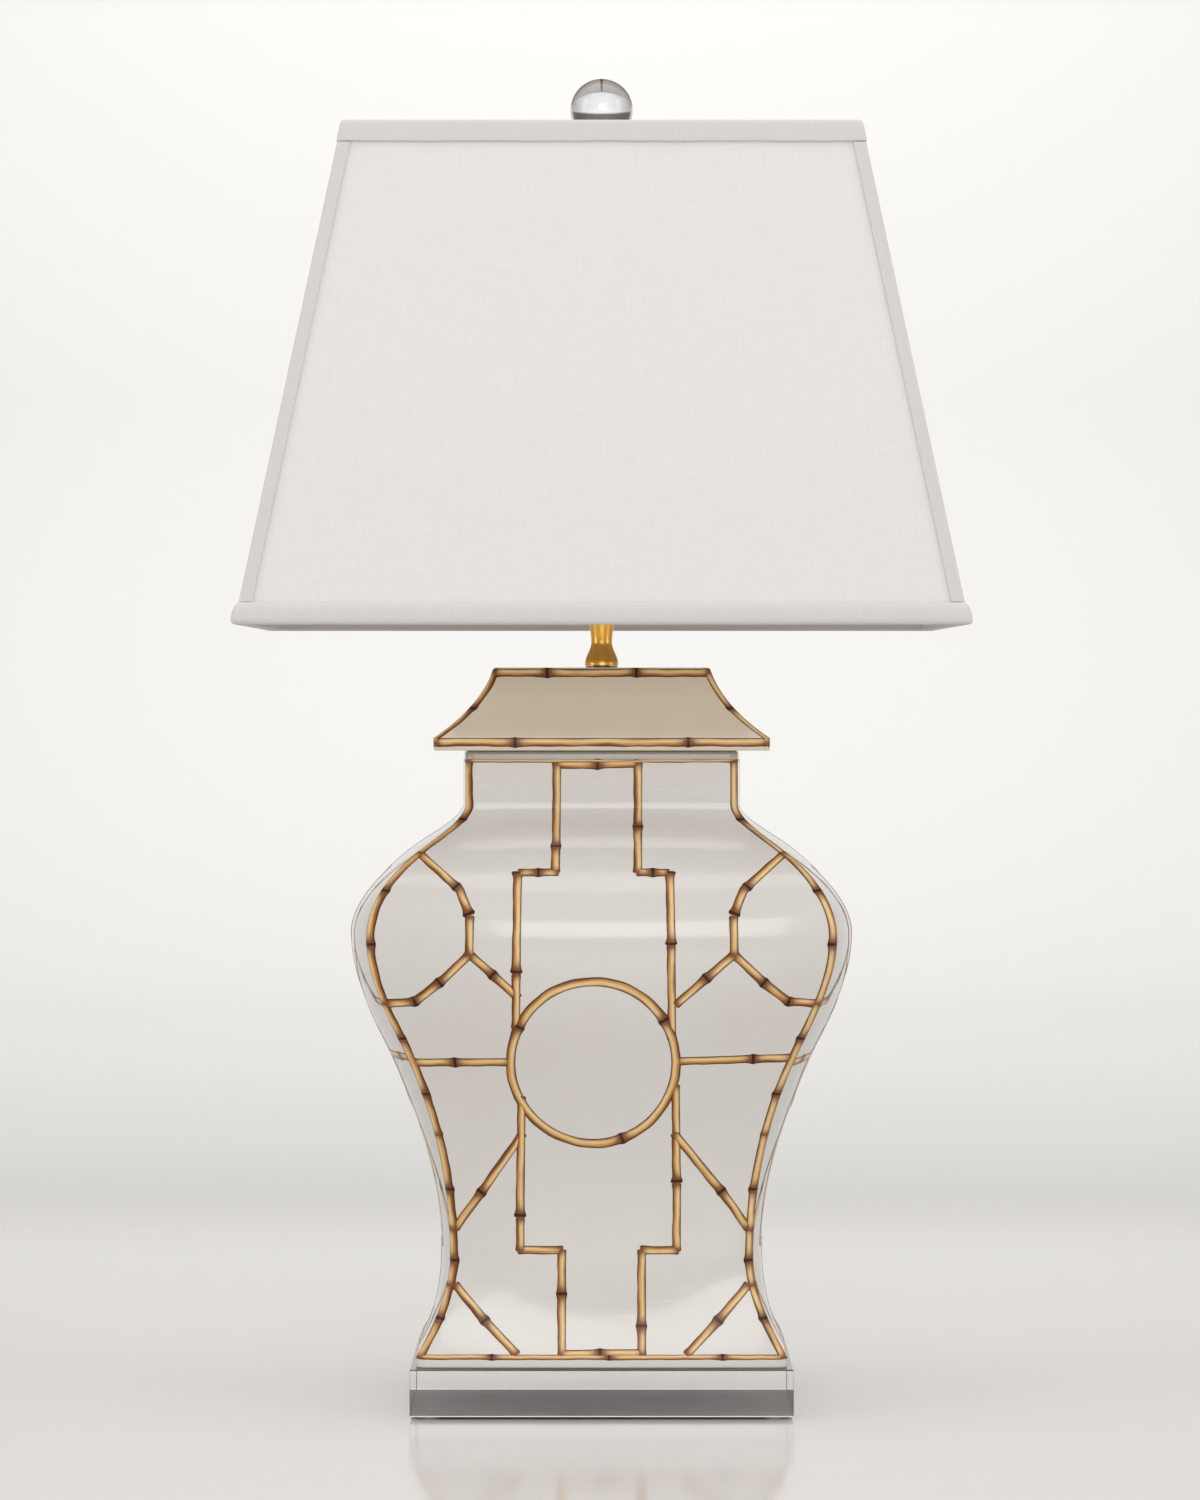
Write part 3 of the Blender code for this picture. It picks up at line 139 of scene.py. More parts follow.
class ShadeSizes(bpy.types.PropertyGroup):
    top: lengths("Top", (0.3050, 0.2010), "Width and depth of the linen at the top")
    bottom: lengths("Bottom", (0.4270, 0.2750), "Width and depth of the linen at the bottom")
    panel: length("Panel", 0.0010, "Thickness of the linen on its backing")
    tape: length("Tape", 0.0008, "Thickness of the linen tape")
    hem: length("Hem", 0.0020, "Thickness of the lower tape, folded over itself")
    top_roll: length("Top roll", 0.0016, "How far the top tape stands out from the linen")
    hem_roll: length("Hem roll", 0.0036, "How far the padded hem stands out from the linen")
    corner_roll: length("Corner roll", 0.0013, "How far a corner tape stands out from the linen")
    tape_height: length("Top tape height", 0.0130, "Height of the top tape")
    hem_height: length("Bottom tape height", 0.0132, "Height of the bottom tape")
    corner_tape: length("Corner tape", 0.0080, "Width of a corner tape on each face")
    ring_inset: length("Ring inset", 0.0031, "From the linen's outside to the wire ring's middle")
    ring_wire: length("Ring wire", 0.0015, "Radius of the wire rings")


class LampColours(bpy.types.PropertyGroup):
    glaze: colour("Glaze", (0.70, 0.675, 0.640), "White porcelain glaze")
    # Painted shade: the lid's glaze is set darker and warmer than the jar's, for the shadow and warm reflected
    # light under the shade.
    lid_glaze: colour("Lid glaze", (0.71, 0.61, 0.475), "Creamier glaze of the lid")
    bamboo_light: colour("Bamboo light", (0.80, 0.52, 0.215), "Lit side of a painted stick")
    bamboo_amber: colour("Bamboo amber", (0.58, 0.275, 0.065), "Shaded side of a painted stick")
    bamboo_brown: colour("Bamboo brown", (0.185, 0.052, 0.011), "Paint beside a node")
    bamboo_dark: colour("Bamboo dark", (0.030, 0.009, 0.004), "Node and outline")
    linen: colour("Linen", (0.80, 0.775, 0.770), "Shade panels")
    # Tape colour: darker than the panels' linen, partly painted shade for the rounded hem and top fold.
    linen_tape: colour("Linen tape", (0.685, 0.655, 0.635), "Shade tapes")
    brass: colour("Brass", (0.93, 0.50, 0.10), "Antique brass")
    floor: colour("Floor", (0.70, 0.675, 0.655), "Studio floor")
    wall: colour("Wall", (0.80, 0.795, 0.775), "Studio wall")


class StageSizes(bpy.types.PropertyGroup):
    distance: length("Distance", 2.72, "From the lamp's axis to the camera")
    eye_height: length("Eye height", 0.437, "Height of the camera")
    lens: FloatProperty(name="Lens", description="Focal length in millimetres", default=106.0)
    rise: FloatProperty(name="Rise", description="Vertical lens shift", default=-0.040)
    strip_steps: IntProperty(name="Sweep steps", description="Rows along the studio sweep", default=64)


class LampSettings(bpy.types.PropertyGroup):
    jar: PointerProperty(type=JarSizes)
    lid: PointerProperty(type=LidSizes)
    trellis: PointerProperty(type=TrellisSizes)
    shade: PointerProperty(type=ShadeSizes)
    colours: PointerProperty(type=LampColours)
    stage: PointerProperty(type=StageSizes)


def settings():
    return bpy.context.scene.ginger_jar_lamp


# ---------------------------------------------------------------- shader expressions
class Value:
    """A shader socket that takes part in Python expressions; each operator adds a Math node."""

    def __init__(self, shader, socket):
        self.shader = shader
        self.socket = socket

    def math(self, operation, *others, clamp=False):
        node = self.shader.tree.nodes.new("ShaderNodeMath")
        node.operation = operation
        node.use_clamp = clamp
        for slot, item in zip(node.inputs, (self, *others)):
            self.shader.plug(slot, item)
        return Value(self.shader, node.outputs[0])

    def __add__(self, other):
        return self.math("ADD", other)

    __radd__ = __add__

    def __mul__(self, other):
        return self.math("MULTIPLY", other)

    __rmul__ = __mul__

    def __sub__(self, other):
        return self.math("SUBTRACT", other)

    def __rsub__(self, other):
        return self.math("MULTIPLY", -1.0).math("ADD", other)

    def __truediv__(self, other):
        return self.math("DIVIDE", other)

    def clamp(self):
        return self.math("ADD", 0.0, clamp=True)

    def ramp(self, low, high):
        """0 below low, 1 above high, smooth between."""
        limits = {"From Min": low, "From Max": high}
        smooth = {"interpolation_type": "SMOOTHSTEP"}
        node = self.shader.node("ShaderNodeMapRange", smooth, Value=self, **limits)
        return node["Result"]


class Shader:
    """A material under construction on one Principled node."""

    def __init__(self, name):
        self.material = bpy.data.materials.new(name)
        self.material.use_nodes = True
        self.tree = self.material.node_tree
        self.principled = self.tree.nodes["Principled BSDF"]

    def plug(self, slot, item):
        if isinstance(item, Value):
            self.tree.links.new(item.socket, slot)
        elif isinstance(item, (tuple, list)) and len(item) == 3 and slot.type == "RGBA":
            slot.default_value = (*item, 1.0)
        else:
            slot.default_value = item

    def node(self, kind, options=None, **values):
        """Add a node: its options first, then values or links by socket name; returns its outputs."""
        node = self.tree.nodes.new(kind)
        for key, item in (options or {}).items():
            setattr(node, key, item)
        for key, item in values.items():
            self.plug(node.inputs[key], item)
        return {socket.name: Value(self, socket) for socket in node.outputs}

    def attribute(self, name):
        return self.node("ShaderNodeAttribute", {"attribute_name": name})["Fac"]

    def place(self, scale=(1, 1, 1), turn=(0, 0, 0), uv=False):
        """Object or UV coordinates, scaled and turned."""
        source = self.node("ShaderNodeTexCoord")["UV" if uv else "Object"]
        return self.node("ShaderNodeMapping", Vector=source, Scale=scale, Rotation=turn)["Vector"]

    def combine(self, x, y, z):
        return self.node("ShaderNodeCombineXYZ", X=x, Y=y, Z=z)["Vector"]

    def height(self):
        return self.node("ShaderNodeSeparateXYZ", Vector=self.place())["Z"]

    def noise(self, vector, scale, detail=3.0, rough=0.5, distortion=0.0):
        values = {"Scale": scale, "Detail": detail, "Roughness": rough, "Distortion": distortion}
        return self.node("ShaderNodeTexNoise", Vector=vector, **values)["Fac"]

    def mix(self, share, low, high):
        """Colour between low and high by a share."""
        node = self.tree.nodes.new("ShaderNodeMix")
        node.data_type = "RGBA"
        inputs = [socket for socket in node.inputs if socket.enabled]
        for slot, item in zip(inputs, (share, low, high)):
            self.plug(slot, item)
        return Value(self, next(socket for socket in node.outputs if socket.enabled))

    def bump(self, height, strength, distance, normal=None):
        values = {"Height": height, "Strength": strength, "Distance": distance}
        if normal is not None:
            values["Normal"] = normal
        return self.node("ShaderNodeBump", **values)["Normal"]

    def blend(self, share, **values):
        """Mix the Principled node with a second one by a share, on the material's output."""
        second = self.tree.nodes.new("ShaderNodeBsdfPrincipled")
        for key, item in values.items():
            self.plug(second.inputs[key.replace("_", " ")], item)
        mixer = self.tree.nodes.new("ShaderNodeMixShader")
        self.plug(mixer.inputs[0], share)
        self.tree.links.new(self.principled.outputs[0], mixer.inputs[1])
        self.tree.links.new(second.outputs[0], mixer.inputs[2])
        self.tree.links.new(mixer.outputs[0], self.tree.nodes["Material Output"].inputs["Surface"])

    def surface(self, **values):
        """Set or link the Principled sockets, with spaces in their names written as underscores."""
        for key, item in values.items():
            self.plug(self.principled.inputs[key.replace("_", " ")], item)
        return self.material


def tint(base, factor):
    return tuple(min(1.0, channel * factor) for channel in base)


def porcelain(name, base, rim=None):
    """White glaze over clay: a soft unevenness, a few specks, a clear coat, and painted shade above rim."""
    s = Shader(name)
    cloud = s.noise(s.place(), 9.0, 2.0)
    pool = s.noise(s.place(), 38.0, 3.0)
    speck = s.noise(s.place(), 900.0, 1.0).ramp(0.76, 0.80)
    warm = (base[0] * 0.955, base[1] * 0.935, base[2] * 0.90)
    body = s.mix(cloud.ramp(0.35, 0.75) * 0.6 + pool.ramp(0.5, 0.8) * 0.15, base, warm)
    body = s.mix(speck * 0.35, body, (0.42, 0.34, 0.25))
    # Painted shadow: above the height rim the glaze turns greyer, standing in for the lid's shadow on the jar's
    # neck.
    if rim is not None:
        height = s.height() + (pool - 0.5) * 0.002
        body = s.mix(height.ramp(rim - 0.0012, rim + 0.0002) * 0.75, body, (0.40, 0.365, 0.31))
    ripple = s.noise(s.place(), 26.0, 2.0, 0.4)
    drag = s.noise(s.place(scale=(1.2, 1.2, 6.0), turn=(0, 0.16, 0)), 42.0, 5.0, 0.72, 1.2)
    orange = s.noise(s.place(), 260.0, 2.0, 0.5)
    normal = s.bump(ripple, 0.08, 0.0008)
    normal = s.bump(drag, 0.15, 0.0006, normal)
    normal = s.bump(orange, 0.06, 0.0002, normal)
    return s.surface(
        Base_Color=body,
        Roughness=pool * 0.07 + 0.09,
        Normal=normal,
        Coat_Weight=0.35,
        Coat_Roughness=0.04,
        Specular_IOR_Level=0.5,
    )


def bamboo_paint():
    """Painted stick: tan, brushed to brown along one edge, outlined, and burnt about its nodes."""
    s = Shader("bamboo_paint")
    c = settings().colours
    along, across, burn = s.attribute("along"), s.attribute("across"), s.attribute("burn")
    fibre = s.noise(s.combine(along * 70.0, across * 2.4, 0.0), 3.0, 4.0, 0.6)
    brush = s.noise(s.combine(along * 16.0, across * 0.5, 0.7), 4.0, 2.0)
    drift = (s.noise(s.combine(along * 9.0, 0.0, 5.0), 3.0, 1.0) - 0.5) * 2.6
    amber = (across * 0.5 + 0.5 + (brush - 0.5) * 1.2).ramp(0.20, 0.95)
    paint = s.mix(amber, tuple(c.bamboo_light), tuple(c.bamboo_amber))
    paint = s.mix(fibre.ramp(0.50, 0.85) * 0.40, paint, tuple(c.bamboo_amber))
    highlight = (1 - (across + 0.25).math("ABSOLUTE") * 2.2).clamp() * brush.ramp(0.30, 0.6)
    paint = s.mix(highlight * 0.65, paint, (0.92, 0.74, 0.46))
    upper_edge = ((fibre - 0.5) * 0.5 - across - drift).ramp(0.35, 1.15)
    lower_edge = ((fibre - 0.5) * 0.5 + across + drift).ramp(0.05, 0.95)
    paint = s.mix((upper_edge * 0.8 + lower_edge * 0.95).clamp(), paint, tuple(c.bamboo_brown))
    brown = (burn * 1.8 + (fibre - 0.5) * 1.4 * burn + across * 0.25 * burn).ramp(0.10, 0.80)
    paint = s.mix(brown * 0.92, paint, tuple(c.bamboo_brown))
    edge = (across.math("ABSOLUTE") + (fibre - 0.5) * 0.30).ramp(0.62, 0.95)
    paint = s.mix(edge * 0.90, paint, tint(c.bamboo_dark, 1.8))
    paint = s.mix(burn.ramp(0.70, 0.93) * 0.95, paint, tuple(c.bamboo_dark))
    normal = s.bump(fibre, 0.15, 0.0002)
    return s.surface(
        Base_Color=paint,
        Roughness=fibre * 0.10 + 0.20,
        Normal=normal,
        Coat_Weight=0.10,
        Coat_Roughness=0.06,
        Specular_IOR_Level=0.22,
    )


def linen(name, base, depth=1.0):
    """Plain weave on the piece's own UV, in metres: fine threads, slubs both ways and a soft nap."""
    s = Shader(name)
    at = s.place(uv=True)
    xyz = s.node("ShaderNodeSeparateXYZ", Vector=at)
    u, v = xyz["X"], xyz["Y"]

    def threads(position, slub_vector, pitch):
        wander = s.noise(slub_vector, 1.0, 2.0) * 1.6
        return (position / pitch * 2 * math.pi + wander * 2.0).math("SINE") * 0.5 + 0.5

    warp_slub_at = s.combine(u * 1500.0, v * 45.0, 0.0)
    weft_slub_at = s.combine(u * 45.0, v * 1500.0, 3.0)
    warp_slub = s.noise(warp_slub_at, 1.0, 2.0, 0.6)
    weft_slub = s.noise(weft_slub_at, 1.0, 2.0, 0.6)
    warp = threads(u, warp_slub_at, 0.00052)
    weft = threads(v, weft_slub_at, 0.00056)
    weave = warp * weft + (1 - warp) * (1 - weft)
    slub = (warp_slub + weft_slub) * 0.5
    nap = s.noise(at, 420.0, 3.0, 0.7)
    tone = (slub - 0.5) * 0.8 + (nap - 0.5) * 0.30 + 0.5
    face = s.mix(tone.ramp(0.25, 0.76), tint(base, 0.945), tint(base, 1.035))
    face = s.mix(weave.ramp(0.0, 0.25) * 0.06, face, tint(base, 0.80))
    thick = (warp_slub.ramp(0.72, 0.86) + weft_slub.ramp(0.72, 0.86)).clamp()
    face = s.mix(thick * 0.22, face, tint(base, 1.08))
    normal = s.bump(weave * 0.7 + slub + nap * 0.6, 0.22 * depth, 0.00020)
    return s.surface(
        Base_Color=face, Roughness=0.92, Normal=normal, Sheen_Weight=0.12, Sheen_Roughness=0.5,
        Specular_IOR_Level=0.25,
    )


def brass(name, base, rough=0.26, tarnish=0.20):
    """Antique brass: a rubbed warm metal with brown in its hollows and fine turning lines."""
    s = Shader(name)
    patina = s.noise(s.place(), 70.0, 4.0, 0.6)
    fine = s.noise(s.place(scale=(1, 1, 14)), 260.0, 2.0)
    dark = (base[0] * 0.34, base[1] * 0.27, base[2] * 0.30)
    metal = s.mix(patina.ramp(0.40, 0.75) * tarnish, base, dark)
    return s.surface(
        Base_Color=metal,
        Metallic=1.0,
        Roughness=patina * 0.16 + fine * 0.06 + (rough - 0.11),
        Normal=s.bump(fine, 0.10, 0.0001),
    )


def clear(name, base, ior, rough=0.01):
    """Clear polished solid, with the faintest handling haze."""
    s = Shader(name)
    haze = s.noise(s.place(), 60.0, 3.0)
    return s.surface(
        Base_Color=base, Transmission_Weight=1.0, IOR=ior, Roughness=haze.ramp(0.55, 0.9) * 0.04 + rough
    )


def acrylic():
    """Clear cast acrylic, faintly smoky through its depth, with a satin underside whose grey film is painted shade.
    """
    s = Shader("acrylic_finish")
    bottom = min(corner[2] for corner in bpy.data.objects["acrylic_plinth"].bound_box)
    haze = s.noise(s.place(), 60.0, 3.0)
    # Faint scratches: they vary the gloss, and as painted reflection they also lighten the tint in streaks.
    scratch_and_sheen_streak = s.noise(s.place(scale=(1, 1, 22)), 14.0, 3.0, 0.6)
    # Painted shade: an opaque grey film on the bottom face darkens the block's lower band.
    underside = 1 - (s.height() - bottom).ramp(0.00025, 0.00045)
    underside_shade_film = s.mix(scratch_and_sheen_streak.ramp(0.3, 0.7), (0.80, 0.775, 0.76), (0.90, 0.88, 0.865))
    s.blend(underside, Base_Color=underside_shade_film, Roughness=0.65)
    tone = s.mix(scratch_and_sheen_streak.ramp(0.35, 0.75), (0.93, 0.92, 0.905), (0.97, 0.96, 0.95))
    return s.surface(
        Base_Color=tone,
        Transmission_Weight=1.0,
        IOR=1.49,
        Roughness=haze.ramp(0.55, 0.9) * 0.03 + scratch_and_sheen_streak.ramp(0.5, 0.9) * 0.05 + 0.01,
    )


def plain(name, base, rough, metallic=0.0, grain=300.0, relief=0.00008, mottle=0.12, **more):
    """Moulded, plated or enamelled finish: a mottled colour, uneven gloss and a fine grain."""
    s = Shader(name)
    cloud = s.noise(s.place(), 90.0, 3.0)
    fine = s.noise(s.place(), grain, 3.0)
    body = s.mix(cloud.ramp(0.3, 0.8), tint(base, 1 + mottle), tint(base, 1 - mottle))
    return s.surface(
        Base_Color=body,
        Roughness=cloud * 0.12 + (rough - 0.06),
        Metallic=metallic,
        Normal=s.bump(fine, 0.25, relief),
        **more,
    )


MATERIALS = {}


def finish_of(name):
    """Material by name, made once."""
    if not MATERIALS:
        c = settings().colours
        MATERIALS.update(
            # The glaze's band just under the lid carries the painted shadow of the lid.
            glaze=porcelain("white_glaze", tuple(c.glaze), settings().jar.levels[-1] - mm(5.2)),
            lid_glaze=porcelain("lid_painted_shade_glaze", tuple(c.lid_glaze)),
            bamboo=bamboo_paint(),
            linen=linen("linen_weave", tuple(c.linen)),
            # The tapes' darker linen is partly painted shade on their rounded folds.
            tape=linen("linen_tape_weave", tuple(c.linen_tape), depth=1.3),
            brass=brass("antique_brass_finish", tuple(c.brass)),
            bronze=brass("dark_bronze_finish", (0.09, 0.055, 0.03), 0.35),
            acrylic=acrylic(),
            crystal=clear("crystal_finish", (0.99, 0.99, 1.0), 1.52, 0.0),
            frosted=clear("frosted_glass", (0.97, 0.97, 0.96), 1.45, 0.35),
            zinc=plain("zinc_finish", (0.58, 0.59, 0.60), 0.34, 1.0, 500.0),
            enamel=plain("white_enamel", (0.80, 0.79, 0.76), 0.35, 0.0, 350.0, mottle=0.05),
            rubber=plain("clear_pad_rubber", (0.72, 0.74, 0.74), 0.45, 0.0, 200.0, mottle=0.04),
            bush=plain("white_bush_rubber", (0.74, 0.72, 0.68), 0.55, 0.0, 260.0, mottle=0.05),
            phenolic=plain("dark_phenolic", (0.045, 0.028, 0.020), 0.38, 0.0, 400.0, mottle=0.25),
            fibre=plain("fibre_liner", (0.50, 0.38, 0.25), 0.85, 0.0, 700.0, 0.0002, 0.20),
        )
    return MATERIALS[name]


# ---------------------------------------------------------------- surfaces and meshes
def grid_faces(rows, columns, wrap_rows=False, wrap_columns=False):
    """Quads of a grid of points whose columns run anticlockwise and rows run up."""
    r = np.arange(rows if wrap_rows else rows - 1)[:, None]
    c = np.arange(columns if wrap_columns else columns - 1)[None, :]
    low, high = r * columns, (r + 1) % rows * columns
    right = (c + 1) % columns
    return np.stack([low + c, low + right, high + right, high + c], axis=-1).reshape(-1, 4)


def piece(
    name, points, faces, finish, body, replaces=(), attributes=None, uv=None, caps=(), sharp=32.0
):
    """Mesh object from arrays, with its material, its body and the frame nodes it stands for."""
    mesh = bpy.data.meshes.new(name)
    polygons = [*np.asarray(faces).tolist(), *[list(cap) for cap in caps]]
    mesh.from_pydata(np.asarray(points, dtype=float).reshape(-1, 3).tolist(), [], polygons)
    for key, values in (attributes or {}).items():
        layer = mesh.attributes.new(key, "FLOAT", "POINT")
        layer.data.foreach_set("value", np.asarray(values, dtype=np.float32).ravel())
    if uv is not None:
        corner = np.empty(len(mesh.loops), dtype=np.int32)
        mesh.loops.foreach_get("vertex_index", corner)
        layer = mesh.uv_layers.new(name="UVMap")
        layer.data.foreach_set("uv", np.asarray(uv, dtype=np.float32).reshape(-1, 2)[corner].ravel())
    mesh.materials.append(finish_of(finish))
    mesh.shade_smooth()
    mesh.set_sharp_from_angle(angle=math.radians(sharp))
    mesh.update()
    item = bpy.data.objects.new(name, mesh)
    bpy.context.scene.collection.objects.link(item)
    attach(item, body)
    if replaces:
        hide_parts(*replaces)
    return item


def hermite(levels, values, slopes, height):
    """Cubic between each two levels, meeting the given values and slopes there."""
    levels, values, slopes = (np.asarray(item, dtype=float) for item in (levels, values, slopes))
    height = np.asarray(height, dtype=float)
    i = np.clip(np.searchsorted(levels, height, side="right") - 1, 0, len(levels) - 2)
    span = levels[i + 1] - levels[i]
    t = (height - levels[i]) / span
    return (
        (1 + 2 * t) * (1 - t) ** 2 * values[i]
        + t * (1 - t) ** 2 * span * slopes[i]
        + t * t * (3 - 2 * t) * values[i + 1]
        + t * t * (t - 1) * span * slopes[i + 1]
    )


def ring_rows(half_x, half_y, radius, bow_x, bow_y, z, side_steps=(40, 28), corner_steps=10):
    """One row of points for each section: four parabolic sides joined by arcs tangent to them,
    anticlockwise."""
    same = np.broadcast_arrays(half_x, half_y, radius, bow_x, bow_y, z)
    half_x, half_y, radius, bow_x, bow_y, z = (np.asarray(item, dtype=float)[:, None] for item in same)
    flat_x, flat_y = half_x - radius, half_y - radius
    lean_x, lean_y = np.arctan(2 * bow_x / flat_y), np.arctan(2 * bow_y / flat_x)
    span_x, span_y = flat_y + radius * np.sin(lean_x), flat_x + radius * np.sin(lean_y)
    sweep = np.pi / 2 - lean_x - lean_y
    across = np.linspace(-1, 1, side_steps[0], endpoint=False)[None, :]
    along = np.linspace(-1, 1, side_steps[1], endpoint=False)[None, :]
    turn = np.linspace(0, 1, corner_steps, endpoint=False)[None, :] * sweep
    first, second = lean_y - np.pi / 2 + turn, lean_x + turn
    x = np.concatenate(
        [
            across * span_y,
            flat_x + radius * np.cos(first),
            flat_x + radius * np.cos(lean_x) + bow_x * (1 - along**2),
            flat_x + radius * np.cos(second),
        ],
        axis=1,
    )
    y = np.concatenate(
        [
            -(flat_y + radius * np.cos(lean_y) + bow_y * (1 - across**2)),
            -flat_y + radius * np.sin(first),
            along * span_x,
            flat_y + radius * np.sin(second),
        ],
        axis=1,
    )
    x, y = np.concatenate([x, -x], axis=1), np.concatenate([y, -y], axis=1)
    return np.stack([x, y, np.broadcast_to(z, x.shape)], axis=-1)


def toward_circle(rows, share, radius):
    """Move rows of points towards a circle round the axis, by a share for each row."""
    share = np.asarray(share, dtype=float)[:, None, None]
    flat = rows[..., :2]
    scale = np.abs(flat).max(axis=1, keepdims=True)
    angle = np.arctan2(flat[..., 1] / scale[..., 1], flat[..., 0] / scale[..., 0])
    circle = np.stack([radius * np.cos(angle), radius * np.sin(angle)], axis=-1)
    moved = rows.copy()
    moved[..., :2] = flat * (1 - share) + circle * share
    return moved


def lathe(outline, steps=96, closed=True):
    """Points and faces of a profile of (radius, height) turned round the axis; it runs up the outer side."""
    outline = np.asarray(outline, dtype=float)
    angle = np.linspace(0, 2 * np.pi, steps, endpoint=False)
    radius, z = outline[:, :1], outline[:, 1:]
    points = np.stack(
        [radius * np.cos(angle), radius * np.sin(angle), np.broadcast_to(z, (len(outline), steps))], axis=-1
    )
    return points, grid_faces(len(outline), steps, closed, True)


def turned_piece(
    name, outline, finish, body, replaces, at=(0, 0, 0), closed=True, steps=96, sharp=32.0
):
    """Turned piece; an open outline starts and ends on the axis, where fans close it."""
    outline = np.asarray(outline, dtype=float)
    if closed:
        points, faces = lathe(outline, steps)
        return piece(name, points + np.asarray(at), faces, finish, body, replaces, sharp=sharp)
    ring, faces = lathe(outline[1:-1], steps, closed=False)
    poles = np.array([[0, 0, outline[0, 1]], [0, 0, outline[-1, 1]]])
    count = (len(outline) - 2) * steps
    points = np.concatenate([ring.reshape(-1, 3), poles]) + np.asarray(at)
    i = np.arange(steps)
    j = (i + 1) % steps
    top = count - steps
    fans = np.concatenate(
        [
            np.stack([np.full(steps, count), j, i], axis=-1),
            np.stack([np.full(steps, count + 1), top + i, top + j], axis=-1),
        ]
    )
    return piece(name, points, faces, finish, body, replaces, caps=fans.tolist(), sharp=sharp)


def rounded(points, radius, steps=4):
    """Outline with each of its corners cut by a quadratic curve from a radius before the corner to a
    radius past it."""
    points = np.asarray(points, dtype=float)
    before, after = np.roll(points, 1, axis=0), np.roll(points, -1, axis=0)

    def toward(other):
        gap = other - points
        far = np.linalg.norm(gap, axis=1, keepdims=True)
        return points + gap / far * np.minimum(radius, far * 0.45)

    t = np.linspace(0, 1, steps + 1)[None, :, None]
    start, end = toward(before)[:, None, :], toward(after)[:, None, :]
    curve = (1 - t) ** 2 * start + 2 * t * (1 - t) * points[:, None, :] + t * t * end
    return curve.reshape(-1, 2)


# ---------------------------------------------------------------- jar
def jar_half_width(z):
    s = settings().jar
    return hermite(s.levels, s.half_widths, s.slopes, np.maximum(z, s.levels[0]))


def jar_bow(z):
    s = settings().jar
    return hermite(s.levels, s.bows, [0.0] * len(s.bows), np.maximum(z, s.levels[0]))


def jar_rows(z, inset, height=None):
    """Sections of the jar at heights z, drawn in across the wall; height puts a section at another level."""
    s = settings().jar
    z, inset = np.broadcast_arrays(np.asarray(z, dtype=float), np.asarray(inset, dtype=float))
    step = 0.0005
    slope = (jar_half_width(z + step) - jar_half_width(z - step)) / (2 * step)
    drawn = inset * np.sqrt(1 + slope**2)
    half = jar_half_width(z)
    radius = np.maximum(s.corner_radius - drawn, s.corner_radius / 4)
    bow = jar_bow(z)
    level = z if height is None else height
    return ring_rows(half - drawn, half * s.depth_share - drawn, radius, bow, bow, level)


class LAMP_OT_jar(bpy.types.Operator):
    """Jar: sections bowed between rounded corners follow a cubic curve of half width over height,
    up the outside, over a rounded rim and down the inside to the floor and its hole"""

    bl_idname = "lamp.jar"
    bl_label = "Jar"

    def execute(self, context):
        s = settings().jar
        low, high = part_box("jar_body")
        bottom, rim = low[2], high[2]
        foot_round, lip = 0.0010, s.wall / 2
        ceiling = bottom + s.foot_recess
        outside = np.concatenate(
            [np.linspace(bottom + foot_round, s.levels[0], 8), np.linspace(s.levels[0], rim - lip, 190)[1:]]
        )
        turn = np.linspace(0, np.pi, 9)[1:-1]
        inside = np.linspace(rim - lip, ceiling + s.floor, 60)
        recess = np.linspace(ceiling, bottom + foot_round, 6)
        corner = np.linspace(0, np.pi / 2, 5)
        outline = (
            (np.full(3, ceiling), np.full(3, s.wall)),
            (recess, np.full(len(recess), s.wall)),
            (
                bottom + foot_round * (1 - np.cos(corner))[::-1][1:],
                s.wall - foot_round * (1 - np.sin(corner))[::-1][1:],
            ),
            (bottom + foot_round * (1 - np.cos(corner))[:-1], foot_round * (1 - np.sin(corner))[:-1]),
            (outside, np.zeros(len(outside))),
            (rim - lip + lip * np.sin(turn), lip * (1 - np.cos(turn))),
            (inside, np.full(len(inside), s.wall)),
            (np.full(3, ceiling + s.floor), np.full(3, s.wall)),
        )
        heights, insets = (np.concatenate([part[k] for part in outline]) for k in (0, 1))
        blend = np.zeros(len(heights))
        blend[:3] = (1.0, 0.7, 0.3)
        blend[-3:] = (0.3, 0.7, 1.0)
        rows = toward_circle(jar_rows(heights, insets), blend, s.hole_radius)
        faces = grid_faces(*rows.shape[:2], True, True)
        jar = piece("porcelain_jar", rows, faces, "glaze", "base", ("jar_body",))
        bore_cord_hole(jar)
        return {"FINISHED"}


